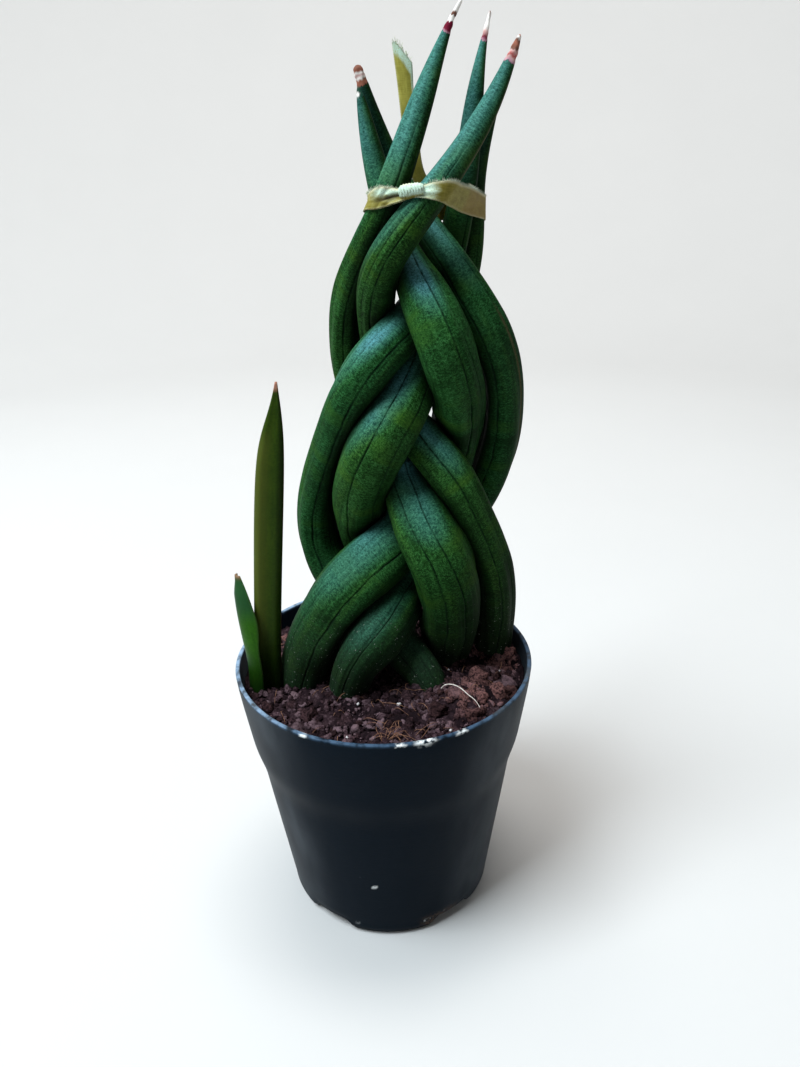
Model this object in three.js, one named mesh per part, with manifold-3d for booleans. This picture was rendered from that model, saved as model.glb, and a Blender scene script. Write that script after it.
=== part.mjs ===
// Potted braided snake plant, in millimetres, +Z up.
// Six cylindrical leaves grow from one crown in a small nursery pot. While they were young and soft
// they were plaited by hand into one column, in three strands of two, and a ribbon ties them
// just below their tips. A pup, a young offshoot of two flat leaves, stands at the left of the crown.
// The origin is the centre of the pot's foot, on the surface that the pot stands on.

import * as THREE from 'three';
import { mergeVertices } from 'three/addons/utils/BufferGeometryUtils.js';
import Module from 'manifold-3d';

const wasm = await Module();
wasm.setup();

// The gap that touching pieces keep, so that no two solids share any space.
const GAP = 0.35;

// Pot: a moulded 10 cm nursery pot. The outside is given as [radius, depth below the rim]:
// a tapered collar, a soft step under it, and a straight taper down to the foot.
const POT_HEIGHT = 92;
const POT_WALL = 1.4;
const POT_SEGMENTS = 54;
const RIM_ROUNDING = 0.5;
const POT_OUTSIDE = [
  [50.0, 1.2], [49.2, 8], [47.6, 19], [46.4, 27], [45.2, 31],
  [43.9, 36], [42.0, 50], [39.2, 70], [36.5, 89.5],
];
const FOOT_RADIUS = 35.2;
const FOOT_WALL = 2.2;
const FLOOR_UNDERSIDE = 4.2;
const FLOOR_THICKNESS = 1.4;

// Five drainage notches in the foot, and a drain hole through the floor beside each.
const NOTCH_COUNT = 5;
const NOTCH_START_DEG = -53;
const NOTCH_WIDTH = 17;
const NOTCH_HEIGHT = 3.4;
const NOTCH_SLANT = 2.6;
const NOTCH_REACH = 20;
const DRAIN_HOLE_RADIUS = 3.6;
const DRAIN_HOLE_FROM_AXIS = 26;

// Soil: [x, y, height, spread] of the soft rises and hollows of its top, over a base depth below the rim.
const SOIL_DEPTH_BELOW_RIM = 6.4;
const SOIL_HEAPS = [
  [27, -24, 6.6, 12], [4, -42, 3.4, 13], [30, 6, 3.2, 13],
  [-34, 0, -1.8, 14], [2, 36, -1.0, 16], [6, -12, 1.2, 12],
];
const SOIL_RINGS = 13;
const SOIL_EDGE_DROP = 0.3;
const CRUMB_HEIGHT = 1.3;
const CRUMB_SPACING = 4.6;

// Leaves: [x, y, z, thickness] guides along each middle line, from the foot in the soil to the tip.
const LEAF_SIDES = 15;
const LEAF_SIDES_PER_GROOVE = 3;
const LEAF_GROOVE_DEPTH = 0.09;
const LEAF_RINGS_PER_GUIDE = 3;
const LEAF_GROOVES_FADE_AT = [2, 8];

// Pressing: inside the plait the leaves lost their roundness against each other. A leaf swells by up to
// PRESS_GROWTH of its radius into the room beside it, and stops where it meets the next leaf. It doesn't
// swell where it faces away from the axis, [x, y, z] at two heights, and the effect fades at both ends.
const PLAIT_AXIS = [[4, 2, 90], [16, 2, 235]];
const PRESS_GROWTH = 0.26;
const PRESS_OUTWARD = [-0.1, 0.75];
const PRESS_STARTS = [92, 108];
const PRESS_ENDS = [206, 226];
const PRESS_GAP = 0.9;
const PRESS_BALLS_PER_GUIDE = 12;
const PRESS_LEAST_FACING = 0.05;
const LEAVES = {
  leaf_left_outer: [
    [-30, 0, 66, 15], [-27.5, -2, 90.5, 18], [-18.5, -6.5, 111, 18.2], [-10, -10, 124.5, 17.6],
    [6.5, 0.5, 134.5, 16], [17.5, 15, 141, 16], [23.5, 16.5, 156, 15.6], [27.5, 2, 177, 14.6],
    [22.5, -16.5, 194, 14], [16, -16.5, 209.5, 12.2], [9.2, -0.8, 219, 9.6], [2.5, 4.5, 241, 7.2],
    [-0.5, 2.5, 257, 3.4], [-1.5, 2.5, 262, 0.8],
  ],
  leaf_left_inner: [
    [-14.5, -4.5, 67, 12.5], [-10, -14.5, 98.5, 14.8], [-1, -17, 108.5, 14.6], [5.5, -3, 114, 14.4],
    [15, 14.5, 120, 14.4], [28.5, 23, 133.5, 14.4], [37.2, 22, 148.5, 13.6], [40.5, 14, 165, 12.8],
    [39, 2.5, 187.5, 12.2], [32, -6.5, 204.5, 11.6], [21.5, -2.5, 219, 10.4], [10.5, 11, 234, 8.8],
    [5, 11, 246, 6.2], [-0.3, 6.5, 262, 3.2], [-1.8, 5.5, 267, 2.6],
  ],
  leaf_right_inner: [
    [18.5, 8.5, 65.5, 17], [18, 12, 76.5, 18.4], [24, 2, 100.5, 18.2], [23, -13, 127.5, 18],
    [15.5, -16, 141, 16.6], [11, -3, 150, 14.6], [6, 14, 162, 14], [-5.5, 19, 174, 12.6],
    [-9, 17.5, 190, 11.4], [-7.5, 6.5, 212, 10.2], [3, -11, 228.5, 9.2], [8, -11.5, 241, 8.2],
    [15.2, -6, 259, 6.2], [21.3, -5, 274, 1.6], [24.5, -6, 279, 0.8],
  ],
  leaf_right_outer: [
    [34.5, 3, 67, 12.6], [37, 9.5, 81, 14.2], [39.2, 9.5, 101, 14.2], [38, 3, 123, 13.6],
    [29.5, -4.5, 143.5, 13], [24, -8.5, 158.5, 12.2], [12, -0.5, 169.5, 11.8], [4.5, 11.5, 181.5, 11],
    [0, 7.5, 198, 10], [0.5, -11, 215, 10], [8, -19, 226.5, 10.2], [19, -14, 238, 7.8],
    [31, -8.5, 254, 5.8], [36.5, -8, 266, 2.8], [38.5, -8.5, 271, 1],
  ],
  leaf_front: [
    [17, -7, 67, 11.5], [17, -14, 89.5, 12.6], [0.5, 1.5, 100, 15], [-15, 15.5, 111.5, 15.2],
    [-22, 20, 124.5, 14], [-22, 16.5, 143, 13.2], [-13.6, 3.5, 166.5, 12.4], [-6.5, -11.5, 186, 12],
    [3, -13.5, 198, 11.2], [17.5, 3.5, 207, 11], [23, 13.5, 218, 9.8], [26.5, 6, 235, 7.6],
    [28.3, 0.5, 258, 5.2], [30.5, 2.5, 270, 1.8], [32.5, 4, 278, 0.8],
  ],
  leaf_behind: [
    [0.5, 12.5, 68, 15], [1.5, 13.5, 82.5, 16.8], [4, 18.5, 96, 16.8], [2.5, 25, 110, 16.4],
    [-5, 22.5, 125.5, 16], [-9, 3.5, 148, 16.2], [-1, -14, 169, 15.8], [7, -11.5, 179.5, 14.4],
    [15, 5.5, 192.5, 12.4], [26, 19, 208.5, 10.4], [30.5, 19, 221.5, 8], [29, 12.5, 238.5, 6.4],
    [33.3, 4.5, 255.5, 3.4], [35.5, 1, 261, 0.8],
  ],
};

// Pup. Tall leaf: [x, y, z, width] guides; its section is a rounded strap, flatter in front.
const PUP_TALL = [
  [-38.2, -7, 73, 7.6], [-39.4, -7, 83, 9.4], [-37.9, -7, 102, 8.7], [-35.4, -7, 128.8, 9],
  [-32.9, -7, 153, 9.1], [-31.0, -7, 169, 8.2], [-29.0, -7, 178.5, 4.0], [-28.2, -7, 184.5, 1.6],
  [-27.9, -7, 187.5, 0.7],
];
const PUP_TALL_SIDES = 12;
const PUP_TALL_THICKNESS_SHARE = 0.6;
const PUP_TALL_FRONT_SHARE = 0.8;
const PUP_RINGS_PER_GUIDE = 2;

// Short leaf: [x, y, z, inner radius] guides of the centre of its hollow side, which clasps the tall leaf.
const PUP_SHORT = [
  [-38.6, -6.9, 76, 4.9], [-39.1, -6.9, 84, 5.2], [-38.6, -6.7, 93, 4.9], [-39.7, -6.2, 103, 5.1],
  [-41.5, -5.6, 113, 4.4], [-43.3, -5.2, 120.5, 2.8], [-45.0, -5.0, 125.5, 0.9],
];
const PUP_SHORT_THICKNESS = 1.3;
const PUP_SHORT_TIP_SHARE = 0.55;
const PUP_SHORT_EDGE_SHARE = 0.25;
const PUP_SHORT_HOLE_FILL = 0.3;
const PUP_SHORT_FACING_DEG = 200;
const PUP_SHORT_SPREAD_DEG = 63;
const PUP_SHORT_STEPS = 6;

// Ribbon: a flat tie round all six leaves, higher in front than behind, with a knot in front.
const TIE_CENTRE = [16, -1];
const TIE_HEIGHT = 234.1;
const TIE_FALL_TO_BACK = 0.156;
const TIE_WIDTH = 6;
const TIE_THICKNESS = 0.8;
const TIE_SEGMENTS = 60;
const TIE_ROUGH_RADIUS = 18;
const TIE_CLEARANCE = 0.65;
const TIE_BALLS_PER_GUIDE = 24;
const TIE_SUPPORT_STEPS = 72;
const TIE_LEAST_FACING = 0.2;
const KNOT_ANGLE_DEG = -104;
const KNOT_HALF_SIZES = [3.4, 2.1, 2.9];
const KNOT_STAND_OFF = 1.3;

// The ribbon's free end: [x, y, z, width] guides. It comes off the inside of the band at the back,
// runs forwards through the hollow middle of the bundle and stands up among the leaves.
const TAIL_THICKNESS = 0.9;
const TAIL_RINGS_PER_GUIDE = 2;
const TAIL = [
  [21.0, 17.4, 232.4, 3.8], [20.4, 14.4, 233.2, 3.8], [18.8, 9.4, 235.4, 3.6], [15.6, 5.0, 237.4, 3.6],
  [13.0, 2.6, 241.6, 3.8], [12.2, 0.8, 248.0, 4.0], [11.2, -0.2, 256.0, 4.0], [10.5, -0.4, 263.6, 4.0],
  [9.6, 0.0, 272.7, 4.6],
];

// Geometry helpers

const degrees = THREE.MathUtils.degToRad;
const { lerp, smoothstep } = THREE.MathUtils;

// A uniform cubic B-spline through [x, y, z, w] guides, as a Vector4 at t from 0 to guides.length - 1.
// A mirrored guide beyond each end makes it start on the first guide and stop on the last.
function splineAt(guides, t) {
  const points = guides.map((guide) => new THREE.Vector4(...guide));
  const before = points[0].clone().multiplyScalar(2).sub(points[1]);
  const after = points.at(-1).clone().multiplyScalar(2).sub(points.at(-2));
  const all = [before, ...points, after];
  const span = Math.min(Math.floor(t), guides.length - 2);
  const s = t - span;
  const weights = [
    (1 - s) ** 3 / 6,
    (3 * s ** 3 - 6 * s ** 2 + 4) / 6,
    (-3 * s ** 3 + 3 * s ** 2 + 3 * s + 1) / 6,
    s ** 3 / 6,
  ];
  const place = new THREE.Vector4(0, 0, 0, 0);
  weights.forEach((weight, i) => place.addScaledVector(all[span + i], weight));
  return place;
}

// Evenly spaced stations along such a spline: point, running direction and the guides' fourth value.
function stationsAlong(guides, ringsPerGuide) {
  const last = guides.length - 1;
  const count = last * ringsPerGuide;
  const stations = [];
  for (let i = 0; i <= count; i++) {
    const t = (last * i) / count;
    const here = splineAt(guides, t);
    const behind = splineAt(guides, Math.max(t - 0.05, 0));
    const ahead = splineAt(guides, Math.min(t + 0.05, last));
    const along = ahead.sub(behind);
    const direction = new THREE.Vector3(along.x, along.y, along.z).normalize();
    stations.push({ point: new THREE.Vector3(here.x, here.y, here.z), direction, value: here.w });
  }
  return stations;
}

// A closed skin over rings of points that run counter-clockwise seen from the far end.
// Flat caps close the first and last ring, unless the rings join up as a loop.
function skinOver(rings, isLoop = false) {
  const sides = rings[0].length;
  const positions = rings.flat().flatMap((p) => [p.x, p.y, p.z]);
  const faces = [];
  const spans = isLoop ? rings.length : rings.length - 1;
  for (let i = 0; i < spans; i++) {
    const next = (i + 1) % rings.length;
    for (let j = 0; j < sides; j++) {
      const a = i * sides + j;
      const b = i * sides + ((j + 1) % sides);
      const c = next * sides + ((j + 1) % sides);
      const d = next * sides + j;
      faces.push(a, b, c, a, c, d);
    }
  }
  if (!isLoop) {
    const end = (rings.length - 1) * sides;
    for (let j = 1; j < sides - 1; j++) {
      faces.push(0, j + 1, j);
      faces.push(end, end + j, end + j + 1);
    }
  }
  const geometry = new THREE.BufferGeometry();
  geometry.setAttribute('position', new THREE.Float32BufferAttribute(positions, 3));
  geometry.setIndex(faces);
  return geometry;
}

// A lathe profile in [radius, z] turned round the Z axis.
function turned(profile, segments) {
  const points = profile.map(([radius, z]) => new THREE.Vector2(radius, z));
  return new THREE.LatheGeometry(points, segments).rotateX(Math.PI / 2);
}

// Closed geometry as a solid that can be joined and cut, and back again.
function solid(geometry) {
  const bare = geometry.clone();
  bare.deleteAttribute('normal');
  bare.deleteAttribute('uv');
  const merged = mergeVertices(bare, 1e-3);
  return new wasm.Manifold(new wasm.Mesh({
    numProp: 3,
    vertProperties: merged.attributes.position.array,
    triVerts: new Uint32Array(merged.index.array),
  }));
}

function geometryOf(shape) {
  const mesh = shape.getMesh();
  const geometry = new THREE.BufferGeometry();
  geometry.setAttribute('position', new THREE.BufferAttribute(mesh.vertProperties, 3));
  geometry.setIndex(new THREE.BufferAttribute(mesh.triVerts, 1));
  geometry.computeVertexNormals();
  return geometry;
}

// Pot

// Outer radius of the pot at a height above its foot: straight between the points of its outside.
function potRadiusAt(z) {
  const depth = POT_HEIGHT - z;
  const below = POT_OUTSIDE.findIndex(([, d]) => d >= depth);
  if (below <= 0) {
    return POT_OUTSIDE.at(below).at(0);
  }
  const [r0, d0] = POT_OUTSIDE[below - 1];
  const [r1, d1] = POT_OUTSIDE[below];
  return THREE.MathUtils.mapLinear(depth, d0, d1, r0, r1);
}

function potGeometry() {
  const floorTop = FLOOR_UNDERSIDE + FLOOR_THICKNESS;
  const rim = RIM_ROUNDING;
  const rimRadius = POT_OUTSIDE[0][0];
  const outsideUp = POT_OUTSIDE.map(([radius, depth]) => [radius, POT_HEIGHT - depth]).reverse();
  const insideDown = [...outsideUp].reverse()
    .filter(([, z]) => z > floorTop + 2)
    .map(([radius, z]) => [radius - POT_WALL, z]);
  const profile = [
    [0, FLOOR_UNDERSIDE],
    [FOOT_RADIUS - FOOT_WALL, FLOOR_UNDERSIDE],
    [FOOT_RADIUS - FOOT_WALL, 0],
    [FOOT_RADIUS, 0],
    ...outsideUp,
    [rimRadius - rim, POT_HEIGHT],
    [rimRadius - POT_WALL + rim, POT_HEIGHT],
    ...insideDown,
    [potRadiusAt(floorTop) - POT_WALL - rim, floorTop],
    [0, floorTop],
  ];
  let pot = solid(turned(profile, POT_SEGMENTS));
  for (let i = 0; i < NOTCH_COUNT; i++) {
    const angle = degrees(NOTCH_START_DEG + (360 * i) / NOTCH_COUNT);
    pot = pot.subtract(solid(notchCutter(angle)));
    pot = pot.subtract(solid(drainHoleCutter(angle)));
  }
  return geometryOf(pot);
}

// A notch with slanted ends, cut from under the foot and running outwards through the foot's wall.
function notchCutter(angle) {
  const half = NOTCH_WIDTH / 2;
  const outline = new THREE.Shape();
  outline.moveTo(-half - 1, -1);
  outline.lineTo(half + 1, -1);
  outline.lineTo(half, 0);
  outline.lineTo(half - NOTCH_SLANT, NOTCH_HEIGHT);
  outline.lineTo(-half + NOTCH_SLANT, NOTCH_HEIGHT);
  outline.lineTo(-half, 0);
  const cutter = new THREE.ExtrudeGeometry(outline, { depth: NOTCH_REACH, bevelEnabled: false });
  cutter.rotateX(Math.PI / 2);
  cutter.translate(0, FOOT_RADIUS + NOTCH_REACH / 2, 0);
  return cutter.rotateZ(angle - Math.PI / 2);
}

function drainHoleCutter(angle) {
  const hole = new THREE.CylinderGeometry(DRAIN_HOLE_RADIUS, DRAIN_HOLE_RADIUS, FLOOR_THICKNESS * 4, 12);
  hole.rotateX(Math.PI / 2);
  const middle = FLOOR_UNDERSIDE + FLOOR_THICKNESS / 2;
  return hole.translate(
    DRAIN_HOLE_FROM_AXIS * Math.cos(angle),
    DRAIN_HOLE_FROM_AXIS * Math.sin(angle),
    middle,
  );
}

// Leaves

// How far the skin of a leaf lies from a point of its middle line in one direction. The wall between two
// pressed leaves is the plane on which the balls that fill them would meet if they were cut flat.
function pressedReach(others, point, radius, facing) {
  const [foot, top] = PLAIT_AXIS;
  const rise = (point.z - foot[2]) / (top[2] - foot[2]);
  const axisX = lerp(foot[0], top[0], rise);
  const axisY = lerp(foot[1], top[1], rise);
  const outward = new THREE.Vector3(point.x - axisX, point.y - axisY, 0).normalize();
  const inside = 1 - smoothstep(facing.dot(outward), ...PRESS_OUTWARD);
  const along = smoothstep(point.z, ...PRESS_STARTS) * (1 - smoothstep(point.z, ...PRESS_ENDS));
  let reach = radius * (1 + PRESS_GROWTH * along * inside);
  for (const ball of others) {
    const apart = ball.point.clone().sub(point);
    const distance = apart.length();
    const wall = (distance ** 2 + radius ** 2 - (ball.value / 2) ** 2) / (2 * distance) - PRESS_GAP / 2;
    const towards = facing.dot(apart) / distance;
    if (towards > PRESS_LEAST_FACING) {
      reach = Math.min(reach, wall / towards);
    }
  }
  return reach;
}

// The balls that fill every leaf but the named one.
function ballsOfOthers(name) {
  return Object.keys(LEAVES)
    .filter((other) => other !== name)
    .flatMap((other) => stationsAlong(LEAVES[other], PRESS_BALLS_PER_GUIDE));
}

// One cylindrical leaf: rings with shallow lengthwise grooves, which fade out towards the tip, pressed
// flat where the next leaf lies on it. The section is carried along the middle line without twisting.
// For cutting the leaf's hole in the soil, grow widens it and leaves out its grooves.
function leafGeometry(name, grow = 0) {
  const stations = stationsAlong(LEAVES[name], LEAF_RINGS_PER_GUIDE);
  const others = ballsOfOthers(name);
  let across = new THREE.Vector3(1, 0, 0);
  const rings = stations.map(({ point, direction, value }, i) => {
    across = across.clone().addScaledVector(direction, -across.dot(direction)).normalize();
    const up = new THREE.Vector3().crossVectors(direction, across);
    const centre = point.clone().addScaledVector(direction, i === 0 ? -grow : 0);
    const fade = smoothstep(value, ...LEAF_GROOVES_FADE_AT);
    const ring = [];
    for (let j = 0; j < LEAF_SIDES; j++) {
      const angle = (2 * Math.PI * j) / LEAF_SIDES;
      const facing = across.clone().multiplyScalar(Math.cos(angle)).addScaledVector(up, Math.sin(angle));
      const inGroove = grow === 0 && j % LEAF_SIDES_PER_GROOVE === 0;
      const groove = inGroove ? 1 - LEAF_GROOVE_DEPTH * fade : 1;
      const reach = pressedReach(others, point, value / 2, facing) * groove + grow;
      ring.push(centre.clone().addScaledVector(facing, reach));
    }
    return ring;
  });
  return skinOver(rings);
}

// The pup's tall leaf: a strap with a rounded back and a flatter front, drawn out to a point.
function pupTallGeometry(grow = 0) {
  const stations = stationsAlong(PUP_TALL, PUP_RINGS_PER_GUIDE);
  const rings = stations.map(({ point, value }, i) => {
    const half = value / 2 + grow;
    const depth = (value * PUP_TALL_THICKNESS_SHARE) / 2 + grow;
    const ring = [];
    for (let j = 0; j < PUP_TALL_SIDES; j++) {
      const angle = (2 * Math.PI * j) / PUP_TALL_SIDES;
      const flatter = Math.sin(angle) < 0 ? PUP_TALL_FRONT_SHARE : 1;
      const x = point.x + half * Math.cos(angle);
      const y = point.y + depth * flatter * Math.sin(angle);
      ring.push(new THREE.Vector3(x, y, i === 0 ? point.z - grow : point.z));
    }
    return ring;
  });
  return skinOver(rings);
}

// The pup's short leaf: a channel whose hollow side faces the tall leaf, narrowing to a point.
// For cutting its hole, grow widens it and fills the hollow side, so that both leaves share one hole.
function pupShortGeometry(grow = 0) {
  const stations = stationsAlong(PUP_SHORT, PUP_RINGS_PER_GUIDE);
  const spread = degrees(PUP_SHORT_SPREAD_DEG);
  const rings = stations.map(({ point, value }, i) => {
    const z = i === 0 ? point.z - grow : point.z;
    const at = (radius, turn) => {
      const angle = degrees(PUP_SHORT_FACING_DEG) + turn;
      return new THREE.Vector3(point.x + radius * Math.cos(angle), point.y + radius * Math.sin(angle), z);
    };
    const turns = [];
    for (let j = 0; j <= PUP_SHORT_STEPS; j++) {
      turns.push((spread + grow / value) * ((2 * j) / PUP_SHORT_STEPS - 1));
    }
    const thickness = PUP_SHORT_THICKNESS * THREE.MathUtils.clamp(value / 3, PUP_SHORT_TIP_SHARE, 1);
    const thinned = (turn) => thickness * PUP_SHORT_EDGE_SHARE * Math.abs(turn / spread);
    const hollow = grow === 0 ? 1 : PUP_SHORT_HOLE_FILL;
    const outer = turns.map((turn) => at(value + thickness - thinned(turn) + grow, turn));
    const inner = turns.map((turn) => at((value + thinned(turn)) * hollow, turn)).reverse();
    return [...outer, ...inner];
  });
  return skinOver(rings);
}

// Soil

// A fixed scatter of values from 0 to 1 on a grid, smoothed between its points.
function crumbNoise(x, y) {
  const value = (i, j) => {
    const wave = Math.sin(i * 127.1 + j * 311.7) * 43758.5453;
    return wave - Math.floor(wave);
  };
  const i = Math.floor(x);
  const j = Math.floor(y);
  const u = smoothstep(x - i, 0, 1);
  const v = smoothstep(y - j, 0, 1);
  const near = lerp(value(i, j), value(i + 1, j), u);
  const far = lerp(value(i, j + 1), value(i + 1, j + 1), u);
  return lerp(near, far, v);
}

// Height of the soil's top: a base level, the heaps on it, and crumbs over all of it.
function soilHeightAt(x, y) {
  let height = POT_HEIGHT - SOIL_DEPTH_BELOW_RIM;
  for (const [heapX, heapY, rise, spread] of SOIL_HEAPS) {
    const distance = Math.hypot(x - heapX, y - heapY);
    height += rise * Math.exp(-((distance / spread) ** 2));
  }
  const crumbs = crumbNoise(x / CRUMB_SPACING + 20, y / CRUMB_SPACING + 20) - 0.5;
  return height + 2 * CRUMB_HEIGHT * crumbs;
}

// The soil fills the pot from its floor up to a lumpy top, and has a plain hole for each leaf.
function soilGeometry() {
  const floor = FLOOR_UNDERSIDE + FLOOR_THICKNESS + GAP;
  const insideAt = (z) => potRadiusAt(z) - POT_WALL - GAP;
  const level = POT_HEIGHT - SOIL_DEPTH_BELOW_RIM;
  const sideHeights = POT_OUTSIDE.map(([, depth]) => POT_HEIGHT - depth)
    .filter((z) => z > floor + 2 && z < level - 4)
    .reverse();
  const edge = insideAt(level) - SOIL_EDGE_DROP;
  const profile = [[0, floor], [insideAt(floor) - 1, floor]];
  sideHeights.forEach((z) => profile.push([insideAt(z), z]));
  for (let i = 0; i < SOIL_RINGS; i++) {
    profile.push([edge * (1 - i / SOIL_RINGS), level]);
  }
  profile.push([0, level]);
  const geometry = turned(profile, POT_SEGMENTS);
  const place = geometry.attributes.position;
  for (let i = 0; i < place.count; i++) {
    if (place.getZ(i) > level - 0.01) {
      place.setZ(i, soilHeightAt(place.getX(i), place.getY(i)));
    }
  }
  let soil = solid(geometry);
  for (const name of Object.keys(LEAVES)) {
    soil = soil.subtract(solid(leafGeometry(name, GAP)));
  }
  soil = soil.subtract(solid(pupTallGeometry(GAP)));
  soil = soil.subtract(solid(pupShortGeometry(GAP)));
  return geometryOf(soil);
}

// Ribbon

// The balls that fill all the leaves near the tie, as { x, y, z, radius }.
function ballsNearTie() {
  const balls = [];
  for (const guides of Object.values(LEAVES)) {
    for (const { point, value } of stationsAlong(guides, TIE_BALLS_PER_GUIDE)) {
      if (Math.abs(point.z - TIE_HEIGHT) < 3 * TIE_WIDTH) {
        balls.push({ x: point.x, y: point.y, z: point.z, radius: value / 2 });
      }
    }
  }
  return balls;
}

// How far a band drawn tight round the leaves at height z lies from the tie's centre, by angle.
function reachOfTie(balls, angle, z) {
  let reach = Infinity;
  for (let i = 0; i < TIE_SUPPORT_STEPS; i++) {
    const normal = (2 * Math.PI * i) / TIE_SUPPORT_STEPS;
    const facing = Math.cos(angle - normal);
    if (facing < TIE_LEAST_FACING) {
      continue;
    }
    let support = 0;
    for (const ball of balls) {
      const cut = ball.radius ** 2 - (z - ball.z) ** 2;
      if (cut > 0) {
        const x = ball.x - TIE_CENTRE[0];
        const y = ball.y - TIE_CENTRE[1];
        const edge = x * Math.cos(normal) + y * Math.sin(normal) + Math.sqrt(cut) + TIE_CLEARANCE;
        support = Math.max(support, edge);
      }
    }
    reach = Math.min(reach, support / facing);
  }
  return reach;
}

// A point at an angle and a distance from the tie's centre, raised by up from the tie's middle line.
function tiePoint(angle, distance, up) {
  const x = distance * Math.cos(angle);
  const y = distance * Math.sin(angle);
  const z = TIE_HEIGHT - TIE_FALL_TO_BACK * y + up;
  return new THREE.Vector3(TIE_CENTRE[0] + x, TIE_CENTRE[1] + y, z);
}

// How far the band lies from the tie's centre at an angle, where its tilted edge meets the leaves.
function bandDistance(balls, angle, up) {
  let distance = TIE_ROUGH_RADIUS;
  for (let i = 0; i < 3; i++) {
    const z = tiePoint(angle, distance, up).z;
    distance = reachOfTie(balls, angle, z);
  }
  return distance;
}

function bandGeometry(balls) {
  const levels = [-TIE_WIDTH / 2, 0, TIE_WIDTH / 2];
  const rings = [];
  for (let i = 0; i < TIE_SEGMENTS; i++) {
    const angle = (2 * Math.PI * i) / TIE_SEGMENTS;
    const inside = levels.map((up) => bandDistance(balls, angle, up));
    const inner = levels.map((up, k) => tiePoint(angle, inside[k], up));
    const outer = levels.map((up, k) => tiePoint(angle, inside[k] + TIE_THICKNESS, up)).reverse();
    rings.push([...inner, ...outer]);
  }
  return skinOver(rings, true);
}

// The free end: a flat strip whose broad side faces front and back all the way.
function tailGeometry() {
  const rings = stationsAlong(TAIL, TAIL_RINGS_PER_GUIDE).map(({ point, direction, value }) => {
    const depth = new THREE.Vector3(0, 1, 0);
    depth.addScaledVector(direction, -depth.dot(direction)).normalize();
    const width = new THREE.Vector3().crossVectors(depth, direction);
    const corner = (w, d) => point.clone()
      .addScaledVector(width, (w * value) / 2)
      .addScaledVector(depth, (d * TAIL_THICKNESS) / 2);
    return [corner(-1, -1), corner(1, -1), corner(1, 1), corner(-1, 1)];
  });
  return skinOver(rings);
}

function ribbonGeometry() {
  const balls = ballsNearTie();
  const angle = degrees(KNOT_ANGLE_DEG);
  const distance = bandDistance(balls, angle, 0) + TIE_THICKNESS + KNOT_STAND_OFF;
  const middle = tiePoint(angle, distance, 0);
  const knot = new THREE.SphereGeometry(1, 10, 8);
  knot.scale(...KNOT_HALF_SIZES);
  knot.rotateZ(angle + Math.PI / 2);
  knot.translate(middle.x, middle.y, middle.z);
  const band = solid(bandGeometry(balls));
  return geometryOf(band.add(solid(knot)).add(solid(tailGeometry())));
}

// The plant

function piece(name, geometry, colour, roughness) {
  const material = new THREE.MeshStandardMaterial({ color: colour, roughness, metalness: 0 });
  const mesh = new THREE.Mesh(geometry, material);
  mesh.name = name;
  return mesh;
}

const LEAF_COLOURS = {
  leaf_left_outer: '#2f5638',
  leaf_left_inner: '#2c5339',
  leaf_right_inner: '#31603f',
  leaf_right_outer: '#2a4f2f',
  leaf_front: '#356547',
  leaf_behind: '#336247',
};

const plant = new THREE.Group();
plant.add(piece('pot', potGeometry(), '#1d242b', 0.55));
plant.add(piece('soil', soilGeometry(), '#3f2e2c', 0.95));
for (const name of Object.keys(LEAVES)) {
  plant.add(piece(name, leafGeometry(name), LEAF_COLOURS[name], 0.5));
}
plant.add(piece('pup_tall', pupTallGeometry(), '#42602a', 0.5));
plant.add(piece('pup_short', pupShortGeometry(), '#4d7f31', 0.5));
plant.add(piece('ribbon', ribbonGeometry(), '#84794a', 0.45));

export default plant;
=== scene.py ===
# %% [markdown]
# # A braided snake plant in its nursery pot
# Six cylindrical leaves grow from one crown. A grower plaited them while they were soft, in three
# strands of two, and a ribbon holds the plait below its tips. A young offshoot, a pup, stands at the
# left, and all of it sits in crumbly brown soil in a small dark plastic pot.
# The solids of the plant are already packed at their true places. This lesson dresses them: each piece
# is made again as a fine surface in the same place, and gets a finish made of nodes.

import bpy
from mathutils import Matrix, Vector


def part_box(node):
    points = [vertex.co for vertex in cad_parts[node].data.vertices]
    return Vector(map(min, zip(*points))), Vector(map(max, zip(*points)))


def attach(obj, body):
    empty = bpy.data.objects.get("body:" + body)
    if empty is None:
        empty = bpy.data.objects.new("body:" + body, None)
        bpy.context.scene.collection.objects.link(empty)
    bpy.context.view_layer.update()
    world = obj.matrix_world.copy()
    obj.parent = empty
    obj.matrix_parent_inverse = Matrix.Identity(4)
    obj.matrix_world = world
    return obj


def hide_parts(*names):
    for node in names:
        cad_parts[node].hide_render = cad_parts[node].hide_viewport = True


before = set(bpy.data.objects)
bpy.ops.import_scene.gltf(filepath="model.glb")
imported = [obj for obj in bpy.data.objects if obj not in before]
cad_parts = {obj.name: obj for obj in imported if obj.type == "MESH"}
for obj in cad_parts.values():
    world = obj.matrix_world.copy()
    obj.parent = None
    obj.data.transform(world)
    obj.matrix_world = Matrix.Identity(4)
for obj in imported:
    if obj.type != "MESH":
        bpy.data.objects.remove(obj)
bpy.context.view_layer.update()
print("solids:", sorted(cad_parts))

# %% [markdown]
# Everything below is measured in millimetres, as a grower would measure a pot, and Blender works in
# metres. One constant turns one into the other where the points of a mesh are handed over.

# %% Libraries and units
import math
from types import SimpleNamespace

import bmesh
import bpy
import numpy as np
from mathutils import Matrix, Vector, noise

MM = 0.001
scene = bpy.context.scene
pot_low, pot_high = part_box("pot")
POT_HEIGHT = round(pot_high.z / MM, 1)
print("pot height", POT_HEIGHT, "mm")

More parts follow.
